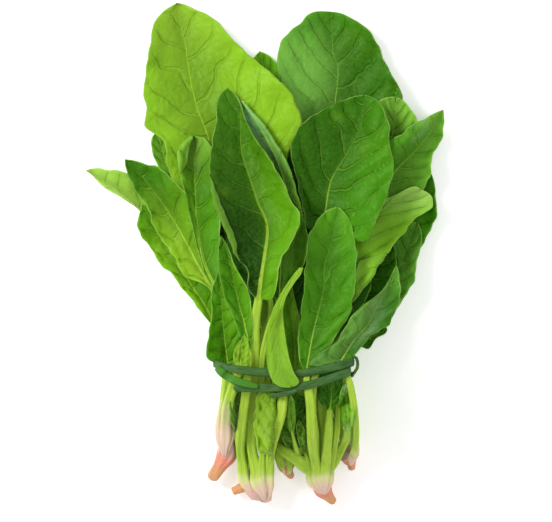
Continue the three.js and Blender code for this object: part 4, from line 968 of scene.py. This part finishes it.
# The middle line of a stalk: points, millimetres above the crown, length and crown. The
# heights are those of the CAD stalk; the last stretch comes down to the crown and lies along it.
def stalkLine(shape, tree):
    path = [*shape["stalk"], shape["rib"][0]]
    at, length = lineThrough(path)
    rows = max(5, int(length / stalkSizes["rowStep"]))
    share = np.linspace(0, 1, rows + 1)[:-1]
    plan = at(share)
    heights = []
    for x, y in plan:
        low, high = (skinHeight(tree, x, y, fromBelow) for fromBelow in (True, False))
        heights.append(0.5 * (low + high) if high - low < 9 else low + stalkSizes["halfHeight"][1])
    heights = np.array(heights)
    known = ~np.isnan(heights)
    if shape.get("node") or not known.any():
        heights = pile[pileCell(*plan.T)] + stalkSizes["overPile"]
        known[:] = True
    heights = np.interp(np.arange(rows), np.arange(rows)[known], heights[known])
    heights = evened(heights, 3)
    crown = nearestCrown(*path[0])
    x, y = crown["at"]
    wide, high = crown["size"]
    outward = float(np.clip((path[0][0] - x) / wide, -0.85, 0.85))
    onTop = shape.get("over") or heights[0] > high * 0.8
    rise = math.sqrt(1 - outward ** 2) * (1 if onTop else -0.7)
    target = high + high * 0.95 * rise
    drop = min(shape.get("drop", stalkSizes["footDrop"]), 0.8 * length)
    heights = target + (heights - target) * smoothStep(0, drop, share * length)
    # along the crown: shares of its length, lean, width and height
    sheath = [(1.15, 1, 0.25, 0.95, 0.45), (0.8, 0.7, 0.62, 1, 0.74), (0.36, 0, 0.92, 1, 0.88)]
    lower = [(x + crown["lean"] * lean + wide * outward * across, y - down * crown["length"],
              high * (middle + up * rise)) for down, lean, across, middle, up in sheath]
    along, reach = lineThrough([*lower, (*path[0], target)])
    steps = np.linspace(0, 1, 9)[:-1]
    line = np.vstack([along(steps), np.column_stack([plan, heights])])
    above = np.concatenate([(steps - 1) * reach, share * length])
    return line, above, length, crown


# Rows of a blade in plan: rib points, the two edges, share along and length
def bladeRows(shape, rows, seed):
    foot, tip = shape["rib"][0], shape["rib"][-1]
    rib, length = lineThrough(shape["rib"])
    t = np.linspace(0, 1, rows + 1)[1:]
    t = t - 0.02 * np.sin(2 * math.pi * t)
    middle = rib(t)
    edges = []
    for number, side in enumerate(("left", "right")):
        edge = evened(lineThrough([foot, *shape[side], tip])[0](t), 4)
        outward = edge - middle
        size = np.maximum(np.linalg.norm(outward, axis=1), tiny)
        swell = waves(t * length / 2.6, np.full(rows, number * 5.0), seed + 11)
        swell *= 0.4 * shape["ruffle"] * smoothStep(0.04, 0.2, t) * (1 - smoothStep(0.85, 1.0, t))
        edges.append(edge + outward * (swell * np.clip(size / 10, 0, 1) / size)[:, None])
    return middle, edges, t, length


# Middle surface of the blade, rows by columns, with each point's distance from the rib; a
# margin that rolls goes up round a half circle and comes back over the blade
def bladeSheet(shape, s, rib, edges, t):
    rows, half = len(t), len(s) // 2
    sheet = np.zeros((rows, len(s), 3))
    fromRib = np.zeros((rows, len(s)))
    for side, columns in ((0, range(half, -1, -1)), (1, range(half, len(s)))):
        reach = np.linalg.norm(edges[side] - rib, axis=1)
        outward = unit(edges[side] - rib)
        bend = np.zeros(rows)
        width = height = 0.0
        if shape.get("roll") and shape["roll"][0] == side:
            begin, end, width, height = shape["roll"][1:]
            bend = smoothStep(begin, begin + 0.14, t) * (1 - smoothStep(end - 0.14, end, t))
        radius = 0.5 * height * bend
        arc = math.pi * radius
        flat = np.maximum(reach - radius, 0.3 * reach)
        back = np.maximum(np.minimum(width, 0.65 * reach) * bend - radius, 0)
        for k in columns:
            d = (flat + arc + back) * abs(s[k])
            turned = math.pi * np.clip((d - flat) / np.maximum(arc, tiny), 0, 1) * (radius > 1e-4)
            past = np.clip(d - flat - arc, 0, None)
            out = np.minimum(d, flat) + radius * np.sin(turned) - past
            sheet[:, k, :2] = rib + outward * out[:, None]
            sheet[:, k, 2] = radius * (1 - np.cos(turned)) - 0.18 * past
            fromRib[:, k] = out if side == 1 else -out
    return sheet, fromRib


# Heights under the blade from its CAD node, or from the pile where it has no node of its own
def restingHeights(shape, tree, sheet, t):
    hanging = shape.get("hanging")
    ownNode = not shape.get("node")
    inward = -bladeSizes["underCad"] if hanging else bladeSizes["underCad"]
    sampled = np.full(sheet.shape[:2], np.nan)
    for r, k in np.ndindex(*sampled.shape):
        sampled[r, k] = skinHeight(tree, *sheet[r, k, :2], not hanging) + inward
    if not ownNode or np.isnan(sampled).all():
        sampled = pile[pileCell(sheet[..., 0], sheet[..., 1])] + bladeSizes["overPile"]
    share = 1 - smoothStep(0, 0.4, t)[:, None] if ownNode else 1
    return filled(sampled, sheet.shape[1] // 2) + shape.get("lift", 0) * share


# Quilting between the veins, waves, folds and the channel along the rib. The vein phase
# rises by one from one side vein to the next.
def bladeRelief(shape, sheet, s, reach, fromRib, t, length, seed):
    spacing = float(np.clip(length / 6.0, 3.5, 17))
    s = s[None]
    t = t[:, None]
    d = np.abs(fromRib)
    a = t * length
    edge = np.where(s < 0, reach[0][:, None], reach[1][:, None])
    u = d / np.maximum(edge, 0.5)
    phase = (a - 0.62 * d - 0.42 * d * u) / spacing + seed * 0.37
    phase = phase + 0.20 * waves(a / 13.0, s * 1.6, seed + 1)
    near = np.abs((phase + np.where(s < 0, 0.5, 0.0) + 0.5) % 1 - 0.5)
    fade = np.clip(edge / 9, 0, 1)
    ends = smoothStep(0, 0.12, t) * (1 - 0.7 * smoothStep(0.85, 1, t))
    quilt = shape.get("puff", 0.75) * (np.sin(math.pi * near) - 0.55) * 2 * fade * ends
    quilt *= smoothStep(0.04, 0.30, u) * (1 - 0.55 * smoothStep(0.75, 1.0, u))
    channel = np.exp(-(d / 2.4) ** 2) * (1 - t) ** 0.5 * fade
    wave = 0.7 * waves(a / 6.0, s * 2.0, seed) + 0.4 * waves(a / 2.4, s * 1.5, seed + 4)
    wave *= shape["ruffle"] * smoothStep(0.55, 1.0, u) * fade * ends
    x, y = sheet[..., 0], sheet[..., 1]
    crumple = 0.5 * fade * ends * waves(x / 7.0, y / 8.0, seed + 3)
    folds = 0.7 - np.abs(waves(x / 1.5, y / 4.5, seed + 7))
    crumple += shape.get("crumple", 0) * ends * folds * 0.8
    return quilt - channel + wave + crumple, phase, spacing


# Upper and under skin of the stalk, as a fluted rod with a groove on top. It is drawn on over
# the blade too, where the two are blended at the foot.
def stalkSkins(shape, centre, along, overCrown, crown, length, s, seed):
    hanging = shape.get("hanging")
    growth = smoothStep(-1.0, -0.7, along)
    thin = (1 - 0.3 * smoothStep(-0.3, 0.0, along)) * (0.7 if length < 20 else 1.0)
    onCrown = overCrown / crown["length"]
    flare = 1 + 0.75 * (1 - smoothStep(-6, 14, overCrown)) * smoothStep(-1.05, -0.5, onCrown)
    narrow = smoothStep(-1.25, -0.55, onCrown)
    atLeft = crown is crownShapes["crown_left"]
    size = shape.get("stalkSize", stalkSizes["sizeAtLeftCrown" if atLeft else "size"])
    pinch = np.where(np.arange(len(along)) == 0, 0.02, 1.0)  # closes the lower end
    low, high = stalkSizes["halfWidth"]
    wide = (low + (high - low) * growth) * thin * flare * (0.45 + 0.55 * narrow) * size * pinch
    low, high = stalkSizes["halfHeight"]
    tall = (low + (high - low) * growth) * thin * (0.5 + 0.5 * narrow) * size ** 0.5 * pinch
    ahead = np.gradient(centre, axis=0)
    ahead[:, 2] *= 1.0 if hanging else 0.3
    ahead = unit(ahead)
    sideways = np.cross(ahead, upwards)
    if hanging:
        sideways[:] = (1.0, 0.0, 0.0)
    sideways = unit(sideways)
    upward = np.cross(sideways, ahead)
    angle = s * math.pi / 2
    across = np.sin(angle) * (1 + stalkSizes["flutes"] * np.cos(angle * 9 + seed))
    rise = np.cos(angle)
    groove = 0.34 * np.exp(-(s / 0.34) ** 2)
    edge = centre[:, None] + sideways[:, None] * (wide[:, None] * across)[..., None]
    up = upward[:, None] * tall[:, None, None]
    return edge + up * (rise - groove)[:, None], edge - up * rise[:, None], upward


# Upper and under skin of the blade, with the rib standing out underneath
def bladeSkins(sheet, fromRib, upward, along, reach, s):
    first = len(along) - len(sheet)
    middle = np.zeros((len(along), len(s), 3))
    middle[first:] = sheet
    normal = np.repeat(upward[:, None], len(s), 1)
    up = np.cross(np.gradient(sheet, axis=1), np.gradient(sheet, axis=0))
    size = np.linalg.norm(up, axis=2)[..., None]
    normal[first:] = np.where(size > tiny, up / np.maximum(size, tiny), normal[first:])
    margin = np.sqrt(np.clip(1 - np.abs(s) ** 6, 0, 1))[:, None]
    thick = 0.5 * bladeSizes["thickness"] * margin * (along < 1)[:, None, None]
    ribFade = np.clip(1 - along, 0, 1) ** 1.3 * (along > 0)
    rib = np.exp(-(fromRib / (0.6 + 1.6 * ribFade)[:, None]) ** 2)
    narrow = np.clip(np.concatenate([np.ones(first), np.minimum(*reach)]) / 6, 0, 1)
    rib *= (bladeSizes["ribDepth"] * ribFade * narrow)[:, None]
    return middle + normal * thick, middle - normal * (thick + rib[..., None] * margin)


# Lifts the leaf clear of what is already laid, the stalk as one and the blade smoothly
def liftOffPile(shape, top, under, stiff, inCrown):
    push = pile[pileCell(under[..., 0], under[..., 1])] + bladeSizes["gap"] - under[..., 2]
    push[(under[..., 2] < -5) | inCrown] = 0
    push = np.clip(push, 0, bladeSizes["mostPush"])
    push = push * (1 - stiff) + push.max(1, keepdims=True) * stiff
    push[:shape.get("freeFrom", 0)] = 0
    for _ in range(4):
        push = np.maximum(push, evened(evened(push, 2), 2, 1))
    top[..., 2] += push
    under[..., 2] += push
    addToPile(top)


# Upper skin left to right, then the under skin back
def ringOf(top, under):
    return np.concatenate([top, under[:, -2:0:-1]], 1)


# What the leaf material reads at each ring point
def leafLayers(shape, s, along, fromRib, phase, spacing, overCrown, crown):
    total, count = fromRib.shape
    across = np.concatenate([s, s[-2:0:-1]])
    side = np.concatenate([np.zeros(count), np.ones(count - 2)])
    side[[0, count - 1]] = 0.5
    along = along[:, None]
    ribHalf = shape.get("ribHalf", 0.75) * np.clip(1 - along, 0, 1) ** 1.2 + 0.12
    pinkFrom, pinkTo = crown["pink"]
    blush = 1 - smoothStep(pinkFrom, pinkTo, overCrown)[:, None]
    allPhase = np.full((total, count), phase[0, count // 2])
    allPhase[total - len(phase):] = phase
    # the green of each half, with its painted light and shade, blends across the rib
    share = (0.5 + 0.5 * np.tanh(across * 6))[:, None]
    towardTip = smoothStep(shape.get("tipFrom", 0.6), 1.0, along)[..., None]
    left, right, tip = (np.array(srgb(*c)) for c in shape["tint"])
    tint = (left * (1 - share) + right * share) * (1 - towardTip) + tip * towardTip
    stacked = {
        "leafPlace": (across, along, side),
        "leafVein": (ringOf(allPhase, allPhase), ringOf(fromRib, fromRib), spacing),
        "leafMarks": (ribHalf, shape.get("veins", 0.35), blush),
    }
    layers = {key: np.stack(np.broadcast_arrays(*values, tint[..., 0])[:3], -1)
              for key, values in stacked.items()}
    return {**layers, "leafTint": tint}


def makeLeaf(name, shape, seed):
    node = shape.get("node", name)
    tree = skinOf(node)
    kind = "rolled" if shape.get("roll") else "covered" if name in coveredLeaves else "open"
    half = bladeSizes["halfColumns"][kind]
    s = np.linspace(-1, 1, 2 * half + 1)
    s = np.sign(s) * (1 - (1 - np.abs(s)) ** 1.35)  # columns crowd towards the margins
    line, above, stalkLength, crown = stalkLine(shape, tree)
    line[:, 2] += shape.get("lift", 0) * smoothStep(0, 30, above)
    rows = int(lineThrough(shape["rib"])[1] / bladeSizes["rowStep"][kind])
    rows = int(np.clip(rows, *bladeSizes["rows"]))
    rib, edges, t, length = bladeRows(shape, rows, seed)
    reach = [np.linalg.norm(edge - rib, axis=1) for edge in edges]
    sheet, fromRib = bladeSheet(shape, s, rib, edges, t)

    # stalk and blade heights are evened together, so that one runs into the other
    first = len(line)
    heights = np.vstack([np.repeat(line[:, 2:], len(s), 1), restingHeights(shape, tree, sheet, t)])
    heights = evened(evened(heights, 10), 5, 1)
    line[:, 2] = heights[:first, half]
    relief, phase, spacing = bladeRelief(shape, sheet, s, reach, fromRib, t, length, seed)
    sheet[..., 2] += heights[first:] + relief

    centre = np.vstack([line, np.column_stack([rib, sheet[:, half, 2]])])
    along = np.concatenate([np.minimum(above / stalkLength, 0.999) - 1.0, t])
    overCrown = np.concatenate([above, np.full(rows, 99.0)])
    fromRib = np.vstack([np.zeros((first, len(s))), fromRib])
    stalkTop, stalkUnder, upward = stalkSkins(shape, centre, along, overCrown, crown,
                                              stalkLength, s, seed)
    bladeTop, bladeUnder = bladeSkins(sheet, fromRib, upward, along, reach, s)
    merge = smoothStep(0.0, min(0.35, 6.0 / length), np.maximum(along, 0)) * (along > 0)
    m = merge[:, None, None]
    top = stalkTop * (1 - m) + bladeTop * m
    under = stalkUnder * (1 - m) + bladeUnder * m
    liftOffPile(shape, top, under, 1 - m[..., 0], (overCrown < 8)[:, None])
    top[:, [0, -1]] = 0.5 * (top[:, [0, -1]] + under[:, [0, -1]])

    young = name.startswith("young")
    layers = leafLayers(shape, s, along, fromRib, phase, spacing, overCrown, crown)
    closedSkin(name + "_skin", ringOf(top, under), layers,
               youngLeafSkin if young else leafSkinGreen, node)
    return top, under


laid = []
for seed, leafName in enumerate(layingOrder[:-1]):
    laid.append(makeLeaf(leafName, leafShapes[leafName], seed * 1.3))
print("leaves laid:", len(laid))


tieShape = {
    "thickness": 1.7,
    "width": 4.8,
    "gap": 0.15,  # clear of the stalks
    "reach": 2.6,  # what lies this near its middle line is inside the tie
    "leftEnd": -28,  # but not what lies further left
    "cut": -19,  # where the lower turn stops short
    "turns": [
        lambda x: -68.7 + 6 * ((x - 9) / 40) ** 2,
        lambda x: -77 + 9.5 * np.maximum(0, (x - 4) / 45) ** 2,
    ],
    # plan points, widths, strand colour, thickness
    "strands": [
        ([-27.6, -64.6, -25.6, -67.4, -20.5, -71, -13.5, -73.8, -7, -75.4, -3, -76.2],
         (4.0, 4.8, 4.8, 4.4, 4.0, 2.6), 1.0, 1.4),
        ([2.5, -81.6, 7, -81.1, 11.3, -80.3, 15, -79.4, 19, -77.6],
         (1.6, 2.8, 3.0, 2.8, 1.6), 0.0, 1.2),
    ],
    # the side loop, from the right ends of the upper and the lower turn
    "loopFromUpper": [(-2.4, 1.6, 0), (0.4, 2.0, 0.3), (1.7, -1.0, 0.6), (1.5, -4.6, 0.3),
                      (-0.6, -7.6, 0)],
    "loopFromLower": [(-0.4, -0.6, 0.6), (-2.6, 0.4, 0.6)],
    "loopSize": (2.4, 1.7),
}
turnRows = 150
strandRows = 26
grainShift = 70  # keeps the grain of one strip apart from the next


# Convex outline of the stalks in the plane across the bunch
def convexLoop(points):
    ordered = sorted(map(tuple, points))

    def half(items):
        chain = []
        for p in items:
            while len(chain) > 1:
                a, b = chain[-2], chain[-1]
                if (b[0] - a[0]) * (p[1] - a[1]) - (b[1] - a[1]) * (p[0] - a[0]) > 0:
                    break
                chain.pop()
            chain.append(p)
        return chain[:-1]
    return np.array(half(ordered) + half(ordered[::-1]))


# Closed loop resampled evenly and moved outward, with its smoothed normals
def offsetLoop(loop, distance, count):
    closed = np.vstack([loop, loop[:1]])
    run = runAlong(closed)
    d = np.linspace(0, run[-1], count, endpoint=False)
    even = np.stack([np.interp(d, run, closed[:, i]) for i in (0, 1)], -1)
    around = np.roll(even, -1, 0) - np.roll(even, 1, 0)
    normal = np.stack([around[:, 1], -around[:, 0]], -1)
    for _ in range(6):
        normal = np.roll(normal, 1, 0) + 2 * normal + np.roll(normal, -1, 0)
    normal = unit(normal)
    return even + normal * distance, normal


# Flat strip with rounded edges along a line, and each ring point's share across
def stripRings(line, forward, normal, widths, thickness, around=14):
    across = unit(np.cross(forward, normal))
    turn = np.linspace(0, 2 * math.pi, around, endpoint=False)
    side = np.sign(np.cos(turn)) * np.abs(np.cos(turn)) ** 0.55
    rise = np.sign(np.sin(turn)) * np.abs(np.sin(turn)) ** 0.75 * (1 - 0.125 * np.cos(turn * 2))
    halfWidth = np.reshape(widths, (-1, 1, 1)) / 2
    rings = (line[:, None] + across[:, None] * side[:, None] * halfWidth
             + normal[:, None] * rise[:, None] * thickness / 2)
    return rings, side


def pinchEnds(rings, line, share):
    for end in (0, -1):
        rings[end] = line[end] + (rings[end] - line[end]) * share


# One turn round the stalks: a closed band, or one that stops short at its left end
def turnRings(number, points):
    lineY = tieShape["turns"][number]
    thickness = tieShape["thickness"]
    near = points[np.abs(points[:, 1] - lineY(points[:, 0])) < tieShape["reach"]]
    near = near[near[:, 0] > tieShape["leftEnd"]]
    stalks = convexLoop(near[:, [0, 2]])
    loop, outward = offsetLoop(stalks, tieShape["gap"] + thickness / 2, turnRows)
    loop[:, 1] = np.maximum(loop[:, 1], thickness / 2 + 0.02)
    step = np.arange(turnRows)
    wobble = 0.25 * np.sin(step * 2 * math.pi / turnRows * 5 + number)
    line = np.stack([loop[:, 0], lineY(loop[:, 0]) + wobble, loop[:, 1]], -1)
    normal = np.stack([outward[:, 0], np.zeros(turnRows), outward[:, 1]], -1)
    forward = np.roll(line, -1, 0) - np.roll(line, 1, 0)
    widths = tieShape["width"] * (1 + 0.06 * np.sin(step * 0.21 + number))
    rings, side = stripRings(line, forward, normal, widths, thickness)
    if number == 0:
        return np.concatenate([rings, rings[:1]]), side
    hidden = (line[:, 0] < tieShape["cut"]) & (line[:, 2] > 4)
    start = int(np.argmax(hidden & ~np.roll(hidden, 1)))
    rings, line, shown = (np.roll(values, -start, 0) for values in (rings, line, ~hidden))
    rings, line = rings[shown], line[shown]
    pinchEnds(rings, line, 0.04)
    return rings, side


# A loose strip that lies on what is under it, with both ends dipping in
def strandRings(path, widths, thickness):
    share = np.linspace(0, 1, strandRows)
    flat = lineThrough(pairs(path))[0](share)
    nearby = ((0, 0), (1.5, 1.5), (-1.5, -1.5), (1.5, -1.5), (-1.5, 1.5))
    z = np.max([pile[pileCell(flat[:, 0] + dx, flat[:, 1] + dy)] for dx, dy in nearby], axis=0)
    z = evened(np.maximum(z, evened(z, 3)), 3) + thickness / 2 + 0.1
    z[[0, -1]] -= 0.9
    line = np.column_stack([flat, z])
    wide = np.interp(share, np.linspace(0, 1, len(widths)), widths)
    rings, side = stripRings(line, np.gradient(line, axis=0), np.tile(upwards, (strandRows, 1)),
                             wide, thickness)
    pinchEnds(rings, line, 0.02)
    return rings, side


def loopRings(upper, lower):
    right, rightLower = (r.reshape(-1, 3)[r[..., 0].argmax()] for r in (upper, lower))
    path = [right + offset for offset in tieShape["loopFromUpper"]]
    path += [rightLower + offset for offset in tieShape["loopFromLower"]]
    line = lineThrough(path)[0](np.linspace(0, 1, strandRows))
    forward = np.gradient(line, axis=0)
    width, thickness = tieShape["loopSize"]
    rings, side = stripRings(line, forward, unit(np.cross(forward, upwards)),
                             np.full(strandRows, width), thickness)
    pinchEnds(rings, line, 0.02)
    return rings, side


def makeTie(points):
    parts = []
    for number in range(len(tieShape["turns"])):
        parts.append((*turnRings(number, points), 0.0))
        addRingsToPile(parts[-1][0])
    for path, widths, colour, thickness in tieShape["strands"]:
        parts.append((*strandRings(path, widths, thickness), colour))
        addRingsToPile(parts[-1][0])
    parts.append((*loopRings(parts[0][0], parts[1][0]), 0.15))
    bm = bmesh.new()
    layer = bm.verts.layers.float_vector.new("tiePlace")
    for number, (rings, side, colour) in enumerate(parts):
        run = runAlong(rings.mean(1))[:, None] + number * grainShift
        addRings(bm, rings, [(layer, np.stack(np.broadcast_arrays(run, side, colour), -1))])
    closedPiece("tie_strips", bm, tieStrip, "tie")


# The leaf whose blade folds back over the tie: its stalk counts first, then come the tie
# and the topmost young leaf, and then its blade hangs over them
overShape = leafShapes["leaf_over_tie"]
overShape["hanging"] = True
stalk = stalkLine(overShape, skinOf("leaf_over_tie"))[0]
halfStalk = 2.6 * upwards
stalkTop = stalk + halfStalk
laid.append((stalkTop, stalk - halfStalk))
for dx in (-2, -1, 0, 1, 2):
    addToPile(np.stack([stalkTop + (dx, 0, 0), stalkTop + (dx + 0.5, 0, 0)], 1))
laid.append(makeLeaf(layingOrder[-1], leafShapes[layingOrder[-1]], 52.0))
makeTie(np.vstack([skin.reshape(-1, 3) for skins in laid for skin in skins]))
print("tie built")
overShape["freeFrom"] = len(stalk) + 3
makeLeaf("leaf_over_tie", overShape, 5.0)
print("all pieces built")


# Floor, light and camera
studio = {
    "sky": 0.66,
    "keyPower": 13.5,
    "fillPower": 3.0,
    "floorGlow": 0.32,
    "cameraHeight": 3.0,
    "viewWidth": 0.320,
    "sensor": 36,
}


def makeFloor():
    n = Nodes("paleFloor")
    speck = n.noise(40, 2.0)
    tone = n.mix(speck, srgb(250, 250, 250), srgb(247, 247, 247))
    n.finish(tone, 0.8, n.bump(speck, 0.02, 0.0002), Emission_Strength=studio["floorGlow"],
             Emission_Color=(1, 1, 1, 1))
    bm = bmesh.new()
    bmesh.ops.create_grid(bm, x_segments=2, y_segments=2, size=3.0)
    floor = linkedMesh("floor", bm, n.material)
    floor.location.z = -0.0005


def addLight(name, place, size, power):
    data = bpy.data.lights.new(name, "AREA")
    data.size = size
    data.energy = power
    light = bpy.data.objects.new(name, data)
    light.location = place
    toward = Vector((0.0, 0.0, 0.03)) - Vector(place)
    light.rotation_euler = toward.to_track_quat("-Z", "Y").to_euler()
    bpy.context.scene.collection.objects.link(light)


makeFloor()
addLight("keyLight", (-0.85, 0.55, 0.95), 0.5, studio["keyPower"])
addLight("fillLight", (0.8, -0.3, 1.3), 1.2, studio["fillPower"])
scene = bpy.context.scene
scene.world = bpy.data.worlds.new("studioSky")
scene.world.use_nodes = True
background = scene.world.node_tree.nodes["Background"]
background.inputs["Color"].default_value = (1, 1, 1, 1)
background.inputs["Strength"].default_value = studio["sky"]
scene.view_settings.view_transform = "Standard"

cameraData = bpy.data.cameras.new("camera")
cameraData.sensor_width = studio["sensor"]
cameraData.lens = studio["sensor"] * studio["cameraHeight"] / studio["viewWidth"]
cameraData.clip_end = 20
camera = bpy.data.objects.new("camera", cameraData)
camera.location = (0.0064 + originShift[0] * mm, -0.0046 + originShift[1] * mm,
                   studio["cameraHeight"])
scene.collection.objects.link(camera)
scene.camera = camera
